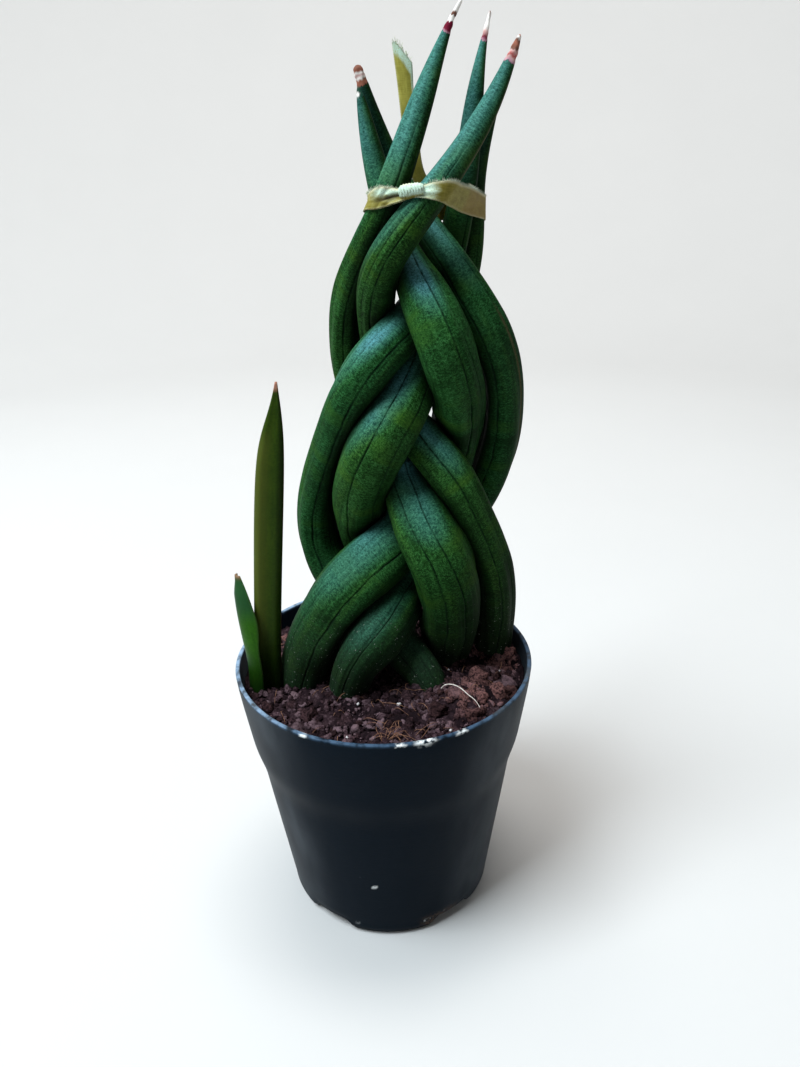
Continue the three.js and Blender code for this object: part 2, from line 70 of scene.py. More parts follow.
# %% [markdown]
# ## The camera
# The photograph was taken close to the plant, from a little above the ribbon, looking down at the pot.
# A close camera makes the top look large and the pot's foot small, so the distance matters as much
# as the angle. The place was found by matching the pot's rim and foot, whose sizes are known. The
# camera is also turned by a degree or so about its own line of sight, as a hand-held one is.

# %% Camera
CAMERA_PLACE = (6.5, -233.9, 239.3)
CAMERA_DOWN_DEG = 23.8
CAMERA_ROLL_DEG = -1.4
FRAME_LONG_SIDE = 1067
FOCAL_LENGTH_IN_PIXELS = 800
SENSOR_LONG_SIDE = 36


def make_camera():
    down = math.radians(CAMERA_DOWN_DEG)
    ahead = Vector((0, math.cos(down), -math.sin(down)))
    turn = Matrix.Rotation(-math.radians(CAMERA_ROLL_DEG), 3, ahead)
    right = turn @ Vector((1, 0, 0))
    up = right.cross(ahead)
    data = bpy.data.cameras.new("camera")
    data.sensor_width = SENSOR_LONG_SIDE
    data.lens = SENSOR_LONG_SIDE * FOCAL_LENGTH_IN_PIXELS / FRAME_LONG_SIDE
    data.clip_start = 0.01
    camera = bpy.data.objects.new("camera", data)
    axes = Matrix((right, up, -ahead)).transposed()
    camera.matrix_world = Matrix.Translation(Vector(CAMERA_PLACE) * MM) @ axes.to_4x4()
    scene.collection.objects.link(camera)
    scene.camera = camera
    print("lens", round(data.lens, 2), "mm")


make_camera()

# %% [markdown]
# ## Nodes, in few words
# Every finish here is a small graph of nodes. These helpers keep each step of a graph on one line:
# one adds any node, and the others are the steps that come back in every finish, such as grain,
# a colour ramp, a blend of two colours or a little arithmetic.

# %% Helpers for finishes
def new_finish(name):
    finish = bpy.data.materials.new(name)
    finish.use_nodes = True
    finish.node_tree.nodes.clear()
    return finish, finish.node_tree


def add(tree, kind, inputs=None, **settings):
    """A new node. Its inputs are numbers, places, colours of three values or outputs of other nodes."""
    made = tree.nodes.new(kind)
    for name, value in settings.items():
        setattr(made, name, value)
    for name, value in (inputs or {}).items():
        socket = made.inputs[name]
        if isinstance(value, bpy.types.NodeSocket):
            tree.links.new(value, socket)
        elif socket.type == "RGBA":
            socket.default_value = (*value, 1)
        else:
            socket.default_value = value
    return made


def measure(tree, name):
    """A number that the mesh carries at each point."""
    return add(tree, "ShaderNodeAttribute", attribute_name=name).outputs["Fac"]


def stretched(tree, where, stretch):
    """A place with each of its axes stretched, so that grain laid there is squeezed along it."""
    return add(tree, "ShaderNodeVectorMath", {0: where, 1: stretch}, operation="MULTIPLY").outputs[0]


def place_on(tree, name, stretch=(1, 1, 1)):
    """A place that the mesh carries at each point, stretched along each axis."""
    carried = add(tree, "ShaderNodeAttribute", attribute_name=name).outputs["Vector"]
    return stretched(tree, carried, stretch)


def place_in_space(tree):
    """The place itself, for pieces that don't bend."""
    return add(tree, "ShaderNodeTexCoord").outputs["Object"]


def grain(tree, where, size, detail=2.0, rough=0.5):
    """Soft noise from 0 to 1, whose lumps are about size millimetres."""
    inputs = {"Vector": where, "Scale": 1 / (size * MM), "Detail": detail, "Roughness": rough}
    return add(tree, "ShaderNodeTexNoise", inputs).outputs[0]


def maths(tree, how, a, b, clamp=False):
    return add(tree, "ShaderNodeMath", {0: a, 1: b}, operation=how, use_clamp=clamp).outputs[0]


def weighted(tree, *parts):
    """The sum of some values, each given with its weight."""
    total = None
    for value, weight in parts:
        part = maths(tree, "MULTIPLY", value, weight)
        total = part if total is None else maths(tree, "ADD", total, part)
    return total


def between(tree, value, low, high):
    """0 below low, 1 above high, and a soft step between them."""
    inputs = {"Value": value, "From Min": low, "From Max": high}
    return add(tree, "ShaderNodeMapRange", inputs, interpolation_type="SMOOTHSTEP").outputs["Result"]


def patches(tree, value, low, high, most):
    """The same soft step, up to the most that is given or measured at each point."""
    return maths(tree, "MULTIPLY", between(tree, value, low, high), most)


def blend(tree, share, a, b):
    return add(tree, "ShaderNodeMix", {0: share, 6: a, 7: b}, data_type="RGBA").outputs[2]


def ramp(tree, value, stops):
    """A colour ramp through (position, colour) stops, in any order."""
    made = add(tree, "ShaderNodeValToRGB", {"Fac": value})
    marks = made.color_ramp.elements
    for position, _ in sorted(stops)[1:-1]:
        marks.new(position)
    for mark, (position, colour) in zip(marks, sorted(stops)):
        mark.position = position
        mark.color = (*colour, 1)
    return made.outputs["Color"]


def bump(tree, height, depth, under=None):
    """Relief of depth millimetres for a height from 0 to 1, on top of the relief under it."""
    inputs = {"Height": height, "Distance": depth * MM, "Strength": 1.0}
    if under is not None:
        inputs["Normal"] = under
    return add(tree, "ShaderNodeBump", inputs).outputs["Normal"]


def cover(tree, **inputs):
    """The shader itself, with its inputs by name, joined to the output."""
    named = {name.replace("_", " "): value for name, value in inputs.items()}
    shader = add(tree, "ShaderNodeBsdfPrincipled", named)
    add(tree, "ShaderNodeOutputMaterial", {"Surface": shader.outputs[0]})


print("helpers:", ", ".join(helper.__name__ for helper in (add, grain, ramp, blend, bump, cover)))

# %% [markdown]
# ## Rings of points
# Nearly all of this plant is long or round, so its meshes are made in one way: rings of points with a
# four-sided face between every two neighbours. Blender can also draw such shapes as curves with a
# bevel. With rings, each point can be moved by itself and can carry numbers that its finish reads.

# %% Meshes from rings of points
def full_turn(count):
    """Angles evenly spaced over one full turn."""
    return 2 * np.pi * np.arange(count) / count


def ring_at(radius, angle, z):
    """A level ring of points."""
    return np.c_[radius * np.cos(angle), radius * np.sin(angle), z + 0 * angle]


def ring_faces(rings, sides, joined=False):
    """Four-sided faces over rings of points that run counter-clockwise seen from the last ring."""
    i = np.arange(rings if joined else rings - 1)[:, None]
    j = np.arange(sides)[None, :]
    after = (i + 1) % rings
    beside = (j + 1) % sides
    corners = [i * sides + j, i * sides + beside, after * sides + beside, after * sides + j]
    return np.stack(corners, -1).reshape(-1, 4).tolist()


def closed_faces(rings, sides):
    """The same, with a flat face over the first and the last ring."""
    first = list(range(sides))
    last = [(rings - 1) * sides + corner for corner in first]
    return [*ring_faces(rings, sides), first[::-1], last]


def mesh_piece(name, points, faces, finish):
    """A mesh object from points in millimetres."""
    mesh = bpy.data.meshes.new(name)
    mesh.from_pydata((np.asarray(points, float) * MM).tolist(), [], faces)
    mesh.materials.append(finish)
    mesh.polygons.foreach_set("use_smooth", [True] * len(mesh.polygons))
    mesh.update()
    piece = bpy.data.objects.new(name, mesh)
    scene.collection.objects.link(piece)
    return piece


def skin_piece(name, rings, finish):
    """A closed skin over an array of rings."""
    return mesh_piece(name, rings.reshape(-1, 3), closed_faces(*rings.shape[:2]), finish)


def carry(piece, name, values):
    """Stores a number, or a place in millimetres, at each point of a mesh."""
    values = np.asarray(values, float)
    is_place = values.size == 3 * len(piece.data.vertices)
    kind = "FLOAT_VECTOR" if is_place else "FLOAT"
    attribute = piece.data.attributes.new(name, kind, "POINT")
    if is_place:
        attribute.data.foreach_set("vector", (values * MM).ravel())
    else:
        attribute.data.foreach_set("value", values.ravel())


print("faces of a closed tube of 3 rings of 4 points:", len(closed_faces(3, 4)))

# %% [markdown]
# ## Floor and light
# The plant stands on a plain pale floor that turns up softly into a wall all round, so that there is
# no edge behind it from any side. A flat plane and a separate wall would show a line where they meet.

# %% Floor
FLOOR_FLAT_RADIUS = 900
FLOOR_TURN_RADIUS = 700
FLOOR_TURN_STEPS = 25
FLOOR_WALL_HEIGHT = 2200
FLOOR_SEGMENTS = 96
FLOOR_COLOUR = (0.42, 0.415, 0.41)
FLOOR_CLOUD_SIZE = 120
FLOOR_CLOUD_SHARE = 0.97


def floor_finish():
    finish, tree = new_finish("pale_floor")
    cloud = grain(tree, place_in_space(tree), FLOOR_CLOUD_SIZE, detail=3)
    pale = tuple(FLOOR_CLOUD_SHARE * c for c in FLOOR_COLOUR)
    colour = blend(tree, cloud, FLOOR_COLOUR, pale)
    cover(tree, Base_Color=colour, Roughness=0.85, Specular_IOR_Level=0.2)
    return finish


def make_floor():
    turn = np.radians(np.linspace(0, 90, FLOOR_TURN_STEPS))
    radii = [0.1, *(FLOOR_FLAT_RADIUS + FLOOR_TURN_RADIUS * np.sin(turn))]
    heights = [0, *(FLOOR_TURN_RADIUS * (1 - np.cos(turn)))]
    radii.append(radii[-1])
    heights.append(FLOOR_WALL_HEIGHT)
    angle = full_turn(FLOOR_SEGMENTS)
    rings = [ring_at(r, angle, z) for r, z in zip(radii, heights)]
    faces = [face[::-1] for face in ring_faces(len(rings), FLOOR_SEGMENTS)]
    faces.append(list(range(FLOOR_SEGMENTS)))
    floor = mesh_piece("floor", np.concatenate(rings), faces, floor_finish())


make_floor()
print("floor", 2 * FLOOR_FLAT_RADIUS, "mm across")

# %% [markdown]
# A large cool panel overhead, a little to the left, lights the top of each bend of a leaf, as daylight
# does; the bluish shine there is mostly a painted highlight in the leaves' finish. Another is turned to
# the wall behind, so that the dark plant stands before a bright one, and a weak warm light comes from
# all round. A small lamp would draw hard shadows instead.

# %% Light
PANELS = {
    # name: place, point it faces, width, height, power in watts, colour
    "overhead_panel": ((-620, -380, 1380), (10, 0, 120), 700, 700, 44.0, (0.84, 0.94, 1.0)),
    "wall_panel": ((0, 300, 1900), (0, 1500, 500), 900, 900, 42.0, (1.0, 0.98, 0.95)),
}
ROOM_COLOUR = (1.0, 0.96, 0.90)
ROOM_STRENGTH = 0.05


def make_panel(name, place, target, width, height, power, colour):
    data = bpy.data.lights.new(name, "AREA")
    data.shape = "RECTANGLE"
    data.size = width * MM
    data.size_y = height * MM
    data.energy = power
    data.color = colour
    panel = bpy.data.objects.new(name, data)
    panel.location = Vector(place) * MM
    panel.rotation_euler = (Vector(target) - Vector(place)).to_track_quat("-Z", "Y").to_euler()
    scene.collection.objects.link(panel)


def make_room_light():
    world = bpy.data.worlds.new("room")
    world.use_nodes = True
    background = world.node_tree.nodes["Background"]
    background.inputs["Color"].default_value = (*ROOM_COLOUR, 1)
    background.inputs["Strength"].default_value = ROOM_STRENGTH
    scene.world = world


for panel_name, panel_facts in PANELS.items():
    make_panel(panel_name, *panel_facts)
make_room_light()
scene.view_settings.view_transform = "Standard"
print("panels:", ", ".join(PANELS))

# %% [markdown]
# ## Lines through space
# Leaves, roots and ribbon are all long things that wander. Each is described by a few guide points
# along its middle, and a smooth curve through them does the rest. A row of guides is x, y, z and a
# fourth number, such as the thickness there, which runs smoothly along with the curve.

# %% A smooth curve through guides
def spline_at(guides, t):
    """Rows of a uniform cubic B-spline through guides, for t from 0 to the number of the last guide."""
    rows = np.asarray(guides, float)
    before = 2 * rows[0] - rows[1]
    after = 2 * rows[-1] - rows[-2]
    rows = np.vstack([before, rows, after])
    t = np.clip(np.asarray(t, float), 0, len(guides) - 1)
    span = np.minimum(t.astype(int), len(guides) - 2)
    s = (t - span)[:, None]
    weights = [
        (1 - s) ** 3 / 6,
        (3 * s ** 3 - 6 * s ** 2 + 4) / 6,
        (-3 * s ** 3 + 3 * s ** 2 + 3 * s + 1) / 6,
        s ** 3 / 6,
    ]
    return sum(weight * rows[span + k] for k, weight in enumerate(weights))


print("the curve rounds a corner off: it passes", spline_at([(0, 0), (1, 1), (2, 0)], [1])[0].round(2))

# %% [markdown]
# A section has to be carried along such a curve. Turning it by the compass would wring it at each
# bend, so it is carried the way a hand slides a ring along a wire: at each step only as much of the
# turn is made as the wire itself makes. A thin end may be walked in finer steps than the rest.

# %% Walk along a curve
CURVE_SAMPLES = 40
FINE_END = 9


def unit(rows):
    return rows / np.linalg.norm(rows, axis=-1, keepdims=True)


def steps_along(length, step, end_step):
    """Distances in even steps. With an end step, the last FINE_END millimetres have steps of that length."""
    distance = np.linspace(0, length, int(round(length / step)) + 1)
    if not end_step:
        return distance
    fine = np.linspace(length - FINE_END, length, int(FINE_END / end_step))
    return np.concatenate([distance[distance < length - FINE_END], fine])


def walk_along(guides, step, end_step=None):
    """Steps along the curve, with the section's two directions carried without twisting."""
    last = len(guides) - 1
    fine = np.linspace(0, last, CURVE_SAMPLES * last + 1)
    gaps = np.linalg.norm(np.diff(spline_at(guides, fine)[:, :3], axis=0), axis=1)
    reached = np.concatenate([[0], np.cumsum(gaps)])
    distance = steps_along(reached[-1], step, end_step)
    t = np.interp(distance, reached, fine)
    here = spline_at(guides, t)
    along = unit((spline_at(guides, t + 0.05) - spline_at(guides, t - 0.05))[:, :3])
    across = np.zeros_like(along)
    carried = np.array([1.0, 0, 0])
    for i, direction in enumerate(along):
        carried = unit(carried - carried @ direction * direction)
        across[i] = carried
    return SimpleNamespace(
        centre=here[:, :3], size=here[:, 3], along=along, across=across,
        up=np.cross(along, across), distance=distance, share=distance / distance[-1],
    )


def round_rim(walk, turn):
    """The directions of a ring's points from its centre, for each step of a walk."""
    return walk.across[:, None] * np.cos(turn)[..., None] + walk.up[:, None] * np.sin(turn)[..., None]


bent_wire = walk_along([(0, 0, 0, 1), (0, 0, 10, 1), (0, 10, 10, 1)], 1)
print("a wire bent once, walked in", len(bent_wire.distance) - 1, "steps of a millimetre")

# %% [markdown]
# Grown things are never quite even. Two helpers bring that in: a soft step, for whatever fades, and soft
# lumps, which are the same each time because they come from the place alone.

# %% Soft steps and soft lumps
def soft_step(value, low, high):
    s = np.clip((value - low) / (high - low), 0, 1)
    return s * s * (3 - 2 * s)


def lumps(points, size, seed=0.0):
    """Soft noise from -1 to 1 at each point, whose lumps are about size millimetres."""
    shift = Vector((seed, -seed, 2 * seed))
    values = [noise.noise(Vector(p) / size + shift) for p in np.reshape(points, (-1, 3))]
    return np.reshape(values, np.shape(points)[:-1])


print("a soft step from 0 to 4:", soft_step(np.arange(5), 0, 4).round(2).tolist())

# %% [markdown]
# ## The leaves' skin
# A snake plant's leaf is matt and tough. Close up its green is made of tiny dark flecks that lie
# across the leaf, and these thicken into soft bands. Yellowish streaks run lengthwise. The sides that
# face the sky have a thin bloom of wax, which looks bluish, and over it lies a painted highlight, bluer
# still, where the light falls on top of each bend and on the front of the tips.
# An image wrapped round each leaf would stretch in every bend. Here the colours come from noise, laid out
# as if the leaf were straight: the mesh carries, at each point, the place that it would have on a
# straight leaf. It also carries how much bloom and painted highlight the skin has there, so all leaves
# can share one recipe.

# %% Green, bloom and painted highlight of the leaves
YELLOW_GREEN = (0.050, 0.125, 0.014)
# colours of the wax bloom and of the painted highlight over it, bluest where it is strongest
BLOOM_HIGHLIGHT_DEEP = (0.010, 0.052, 0.040)
BLOOM_HIGHLIGHT_PALE = (0.058, 0.200, 0.160)
BLOOM_HIGHLIGHT_BLUE = (0.075, 0.225, 0.250)
BAND_SIZE = 8
STREAK_SIZE = 4.5


def leaf_green(tree, mottle, deep, middle, pale, olive):
    """The green itself: flecks, soft olive and dark bands across it, and yellowish streaks along it."""
    bands = grain(tree, place_on(tree, "straight", (0.2, 0.2, 1)), BAND_SIZE, detail=2.5)
    streak = grain(tree, place_on(tree, "straight", (1, 1, 0.12)), STREAK_SIZE, detail=2)
    colour = ramp(tree, mottle, [(0.41, deep), (0.50, middle), (0.61, pale)])
    olive_flecks = ramp(tree, mottle, [(0.38, middle), (0.60, olive)])
    colour = blend(tree, patches(tree, bands, 0.52, 0.66, 0.65), colour, olive_flecks)
    dark_bands = maths(tree, "SUBTRACT", 1.0, bands)
    colour = blend(tree, patches(tree, dark_bands, 0.53, 0.66, 0.55), colour, deep)
    yellow_share = patches(tree, streak, 0.52, 0.72, 0.36)
    return blend(tree, patches(tree, mottle, 0.45, 0.56, yellow_share), colour, YELLOW_GREEN)


def leaf_bloom_and_highlight(tree, mottle, colour):
    """The wax bloom and the painted highlight over the green, bluest where they are strongest."""
    amount = measure(tree, "bloom_and_highlight")
    thin = ramp(tree, mottle, [(0.41, BLOOM_HIGHLIGHT_DEEP), (0.62, BLOOM_HIGHLIGHT_PALE)])
    thick = ramp(tree, mottle, [(0.39, BLOOM_HIGHLIGHT_DEEP), (0.60, BLOOM_HIGHLIGHT_BLUE)])
    wax_and_highlight = blend(tree, between(tree, amount, 0.55, 1.0), thin, thick)
    return blend(tree, amount, colour, wax_and_highlight)


LEAF_GREENS = {
    # name: deepest fleck, middle, palest fleck, olive band
    "leaf_left_outer": (
        (0.003, 0.016, 0.003), (0.010, 0.050, 0.011), (0.032, 0.128, 0.036), (0.034, 0.095, 0.008),
    ),
    "leaf_left_inner": (
        (0.002, 0.013, 0.003), (0.007, 0.040, 0.010), (0.025, 0.104, 0.032), (0.024, 0.072, 0.008),
    ),
    "leaf_right_inner": (
        (0.003, 0.014, 0.002), (0.010, 0.046, 0.009), (0.032, 0.122, 0.030), (0.040, 0.095, 0.006),
    ),
    "leaf_right_outer": (
        (0.003, 0.013, 0.002), (0.010, 0.042, 0.008), (0.032, 0.110, 0.026), (0.036, 0.085, 0.006),
    ),
    "leaf_front": (
        (0.002, 0.014, 0.003), (0.008, 0.044, 0.011), (0.026, 0.115, 0.036), (0.024, 0.080, 0.008),
    ),
    "leaf_behind": (
        (0.003, 0.015, 0.002), (0.012, 0.052, 0.010), (0.036, 0.132, 0.034), (0.044, 0.110, 0.007),
    ),
}
print("greens of", len(LEAF_GREENS), "leaves")

# %% [markdown]
# On top of the green lie the marks of a leaf's life: fine dark lines, grit splashed up from the soil, and
# a tip that died back. Each is one blend, and the mesh says how much of it there is at each point. A
# noise breaks every mark up, because none has a clean edge.

# %% Marks on the leaves
LINE_COLOUR = (0.002, 0.009, 0.004)
DUST_COLOUR = (0.30, 0.32, 0.28)
DASH_SIZE = 1.2
GRIT_SIZE = 0.8
SHRED_SIZE = 1.1
DUST_FILM = 0.02


def leaf_lines(tree, colour):
    """Dark lines along the leaf, stronger and weaker by turns."""
    dashes = grain(tree, place_on(tree, "straight", (0.2, 0.2, 1)), DASH_SIZE, detail=3)
    dashes = between(tree, dashes, 0.32, 0.54)
    line = maths(tree, "MULTIPLY", measure(tree, "line"), maths(tree, "ADD", dashes, 0.35), clamp=True)
    return blend(tree, maths(tree, "MULTIPLY", line, 0.9), colour, LINE_COLOUR)


def leaf_dust(tree, colour):
    """Grit and a thin film of dust on the foot of the leaf."""
    low = measure(tree, "low")
    grit = grain(tree, place_on(tree, "straight"), GRIT_SIZE, detail=3, rough=0.7)
    grit = patches(tree, grit, 0.65, 0.72, low)
    film = maths(tree, "MULTIPLY", low, DUST_FILM)
    return blend(tree, maths(tree, "ADD", grit, film, clamp=True), colour, DUST_COLOUR)


def leaf_tip(tree, colour, tip):
    """The dried tip: a row of colours from the edge of the green to the point, torn like shreds."""
    shreds = grain(tree, place_on(tree, "straight", (1.6, 1.6, 0.5)), SHRED_SIZE, detail=3)
    uneven = maths(tree, "MULTIPLY", maths(tree, "SUBTRACT", shreds, 0.5), 0.30)
    reached = maths(tree, "ADD", measure(tree, "tip"), uneven)
    return blend(tree, between(tree, reached, 0.0, 0.03), colour, ramp(tree, reached, tip))


print("a film of", round(100 * DUST_FILM), "percent dust on the feet of the leaves")

# %% [markdown]
# The very tips died back long ago. Each has its own row of colours from the sharp line where the green
# ends: dusty pink and maroon first, then skin bleached white, and a brown point. A short row of
# stops for each tip is enough, because one noise pulls the bands out of line, as shreds do.

# %% Colours of the tips
NAVY, MAROON, RUST = (0.010, 0.012, 0.016), (0.110, 0.007, 0.020), (0.230, 0.085, 0.055)
DUSTY_PINK, PINK = (0.30, 0.16, 0.20), (0.42, 0.25, 0.23)
RED, BROWN, DARK_GREEN = (0.300, 0.060, 0.055), (0.11, 0.050, 0.035), (0.012, 0.045, 0.030)
BLEACHED = (0.66, 0.62, 0.58)
TIP_COLOURS = {
    # name: (share of the way from the edge of the green to the point, colour)
    "leaf_left_outer": [(0.0, DARK_GREEN), (0.75, DARK_GREEN), (1.0, BROWN)],
    "leaf_left_inner": [
        (0.0, NAVY), (0.06, RUST), (0.26, RUST), (0.36, BLEACHED), (0.50, PINK), (0.62, BLEACHED),
        (0.72, RUST), (1.0, BROWN),
    ],
    "leaf_right_inner": [
        (0.0, NAVY), (0.03, DUSTY_PINK), (0.09, MAROON), (0.32, MAROON), (0.36, BLEACHED),
        (0.50, BLEACHED), (0.54, BROWN), (0.62, BROWN), (0.67, BLEACHED),
    ],
    "leaf_right_outer": [
        (0.0, NAVY), (0.05, DUSTY_PINK), (0.18, PINK), (0.28, RED), (0.42, PINK), (0.50, BROWN),
        (0.66, RUST), (0.80, BROWN), (0.90, BLEACHED), (1.0, RUST),
    ],
    "leaf_front": [
        (0.0, NAVY), (0.04, DUSTY_PINK), (0.15, MAROON), (0.32, PINK), (0.46, BLEACHED),
        (0.84, BLEACHED), (1.0, BROWN),
    ],
    "leaf_behind": [(0.0, NAVY), (0.20, RUST), (1.0, BROWN)],
}
print("colours at the tips:", {name: len(stops) for name, stops in TIP_COLOURS.items()})

# %% [markdown]
# Now the recipe is put together, from the green up. Crevices, undersides and the skin near the soil get
# painted shade, a deeper green, and the mesh carries its share at each point. Ribs and flecks stand out
# by a fraction of a millimetre, which is enough for a matt skin with hardly any gloss.

# %% Finish of the leaves
# colour of the painted shade in crevices, near the soil and underneath
SHADE_COLOUR = (0.001, 0.004, 0.001)
PAPER_COLOUR = (0.055, 0.052, 0.024)
FLECK_SIZE = 0.95
SPECK_SIZE = 0.26
RIB_SIZE = 1.3
RIB_RELIEF = 0.25
FLECK_RELIEF = 0.06


def leaf_finish(name, greens, tip):
    finish, tree = new_finish(name)
    fleck = grain(tree, place_on(tree, "straight", (1, 1, 2.2)), FLECK_SIZE, detail=4, rough=0.65)
    speck = grain(tree, place_on(tree, "straight", (1, 1, 1.5)), SPECK_SIZE, detail=2)
    ribs = grain(tree, place_on(tree, "straight", (1, 1, 0.04)), RIB_SIZE, detail=2)
    mottle = weighted(tree, (fleck, 0.45), (speck, 0.40), (ribs, 0.15))
    # wax bloom with a painted highlight on the sides turned to the light
    colour = leaf_bloom_and_highlight(tree, mottle, leaf_green(tree, mottle, *greens))
    # painted shade: crevices, the skin near the soil, and undersides
    colour = blend(tree, measure(tree, "shade"), colour, SHADE_COLOUR)
    colour = leaf_lines(tree, colour)
    colour = blend(tree, patches(tree, speck, 0.3, 0.5, measure(tree, "paper")), colour, PAPER_COLOUR)
    colour = leaf_tip(tree, leaf_dust(tree, colour), tip)
    colour = blend(tree, measure(tree, "spot"), colour, BLEACHED)
    roughness = maths(tree, "ADD", maths(tree, "MULTIPLY", mottle, 0.3), 0.45)
    relief = bump(tree, mottle, FLECK_RELIEF, bump(tree, ribs, RIB_RELIEF))
    cover(tree, Base_Color=colour, Roughness=roughness, Normal=relief, Specular_IOR_Level=0.02)
    return finish


leaf_finishes = {name: leaf_finish("skin_of_" + name, greens, TIP_COLOURS[name])
                 for name, greens in LEAF_GREENS.items()}
print(len(leaf_finishes), "leaf finishes")

# %% [markdown]
# ## The leaves' shape
# Each leaf is a tapering rod, nearly round, that winds through the plait. Its way was found from the
# photograph: how far to the side it lies and how thick it is can be measured, and how far forward it
# lies follows from which leaf passes in front. The solids follow the same guides.

# %% Guides of the leaves
LEAVES = {
    # name: rows of x, y, z and thickness along the middle of the leaf, from its foot in the soil
    "leaf_left_outer": [
        (-30, 0, 66, 15), (-27.5, -2, 90.5, 18), (-18.5, -6.5, 111, 18.2), (-10, -10, 124.5, 17.6),
        (6.5, 0.5, 134.5, 16), (17.5, 15, 141, 16), (23.5, 16.5, 156, 15.6), (27.5, 2, 177, 14.6),
        (22.5, -16.5, 194, 14), (16, -16.5, 209.5, 12.2), (9.2, -0.8, 219, 9.6), (2.5, 4.5, 241, 7.2),
        (-0.5, 2.5, 257, 3.4), (-1.5, 2.5, 262, 0.8),
    ],
    "leaf_left_inner": [
        (-14.5, -4.5, 67, 12.5), (-10, -14.5, 98.5, 14.8), (-1, -17, 108.5, 14.6), (5.5, -3, 114, 14.4),
        (15, 14.5, 120, 14.4), (28.5, 23, 133.5, 14.4), (37.2, 22, 148.5, 13.6), (40.5, 14, 165, 12.8),
        (39, 2.5, 187.5, 12.2), (32, -6.5, 204.5, 11.6), (21.5, -2.5, 219, 10.4), (10.5, 11, 234, 8.8),
        (5, 11, 246, 6.2), (-0.3, 6.5, 262, 3.2), (-1.8, 5.5, 267, 2.6),
    ],
    "leaf_right_inner": [
        (18.5, 8.5, 65.5, 17), (18, 12, 76.5, 18.4), (24, 2, 100.5, 18.2), (23, -13, 127.5, 18),
        (15.5, -16, 141, 16.6), (11, -3, 150, 14.6), (6, 14, 162, 14), (-5.5, 19, 174, 12.6),
        (-9, 17.5, 190, 11.4), (-7.5, 6.5, 212, 10.2), (3, -11, 228.5, 9.2), (8, -11.5, 241, 8.2),
        (15.2, -6, 259, 6.2), (21.3, -5, 274, 1.6), (24.5, -6, 279, 0.8),
    ],
    "leaf_right_outer": [
        (34.5, 3, 67, 12.6), (37, 9.5, 81, 14.2), (39.2, 9.5, 101, 14.2), (38, 3, 123, 13.6),
        (29.5, -4.5, 143.5, 13), (24, -8.5, 158.5, 12.2), (12, -0.5, 169.5, 11.8), (4.5, 11.5, 181.5, 11),
        (0, 7.5, 198, 10), (0.5, -11, 215, 10), (8, -19, 226.5, 10.2), (19, -14, 238, 7.8),
        (31, -8.5, 254, 5.8), (36.5, -8, 266, 2.8), (38.5, -8.5, 271, 1),
    ],
    "leaf_front": [
        (17, -7, 67, 11.5), (17, -14, 89.5, 12.6), (0.5, 1.5, 100, 15), (-15, 15.5, 111.5, 15.2),
        (-22, 20, 124.5, 14), (-22, 16.5, 143, 13.2), (-13.6, 3.5, 166.5, 12.4), (-6.5, -11.5, 186, 12),
        (3, -13.5, 198, 11.2), (17.5, 3.5, 207, 11), (23, 13.5, 218, 9.8), (26.5, 6, 235, 7.6),
        (28.3, 0.5, 258, 5.2), (30.5, 2.5, 270, 1.8), (32.5, 4, 278, 0.8),
    ],
    "leaf_behind": [
        (0.5, 12.5, 68, 15), (1.5, 13.5, 82.5, 16.8), (4, 18.5, 96, 16.8), (2.5, 25, 110, 16.4),
        (-5, 22.5, 125.5, 16), (-9, 3.5, 148, 16.2), (-1, -14, 169, 15.8), (7, -11.5, 179.5, 14.4),
        (15, 5.5, 192.5, 12.4), (26, 19, 208.5, 10.4), (30.5, 19, 221.5, 8), (29, 12.5, 238.5, 6.4),
        (33.3, 4.5, 255.5, 3.4), (35.5, 1, 261, 0.8),
    ],
}
print(len(LEAVES), "leaves, drawn with", sum(len(guides) for guides in LEAVES.values()), "guides")

# %% [markdown]
# Fine dark lines run down every leaf. One or two on each are deep: they are what is left of the channel
# that the leaf had when it was young and open. They could be painted on, but they catch the light, so
# they are pressed in. A line has a strength and one or more directions round the leaf, from foot to
# tip. Two leaves have a line that dried to a brown edge, and one has a pale scar.

# %% Lines of the leaves
LINES = {
    # name: (strength, the line's angles round the leaf from foot to tip, in degrees), in order round it
    "leaf_left_outer": [
        (0.3, (20,)), (0.4, (66,)), (0.3, (112,)), (0.4, (160,)), (0.3, (212,)),
        (1.0, (268, 272, 270, 306, 312)), (0.5, (308, 312, 306, 336, 342)),
    ],
    "leaf_left_inner": [
        (0.3, (24,)), (0.4, (70,)), (0.3, (118,)), (0.4, (166,)), (0.3, (210,)),
        (0.9, (246, 246, 250, 255, 255)), (0.6, (300, 296, 330, 334, 320)),
    ],
    "leaf_right_inner": [
        (0.3, (20,)), (0.4, (68,)), (0.3, (116,)), (0.4, (164,)), (0.3, (212,)),
        (0.9, (262, 259, 262, 270, 270)), (1.0, (300, 299, 300, 306, 306)),
    ],
    "leaf_right_outer": [
        (0.3, (18,)), (0.4, (64,)), (0.3, (110,)), (0.4, (156,)), (0.3, (196,)),
        (0.5, (240, 240, 238, 229, 228)), (1.0, (280, 285, 288, 257, 256)),
        (0.3, (325, 330)),
    ],
    "leaf_front": [
        (0.3, (20,)), (0.4, (66,)), (0.3, (112,)), (0.4, (160,)), (0.3, (206,)),
        (1.0, (262, 262, 268, 280, 285)), (0.5, (305, 305, 310, 320, 325)),
    ],
    "leaf_behind": [
        (0.3, (12,)), (0.4, (60,)), (0.3, (104,)), (0.3, (150,)),
        (1.0, (262, 252, 212, 194, 194)), (0.7, (304, 292, 276, 262, 262)), (0.3, (332,)),
    ],
}
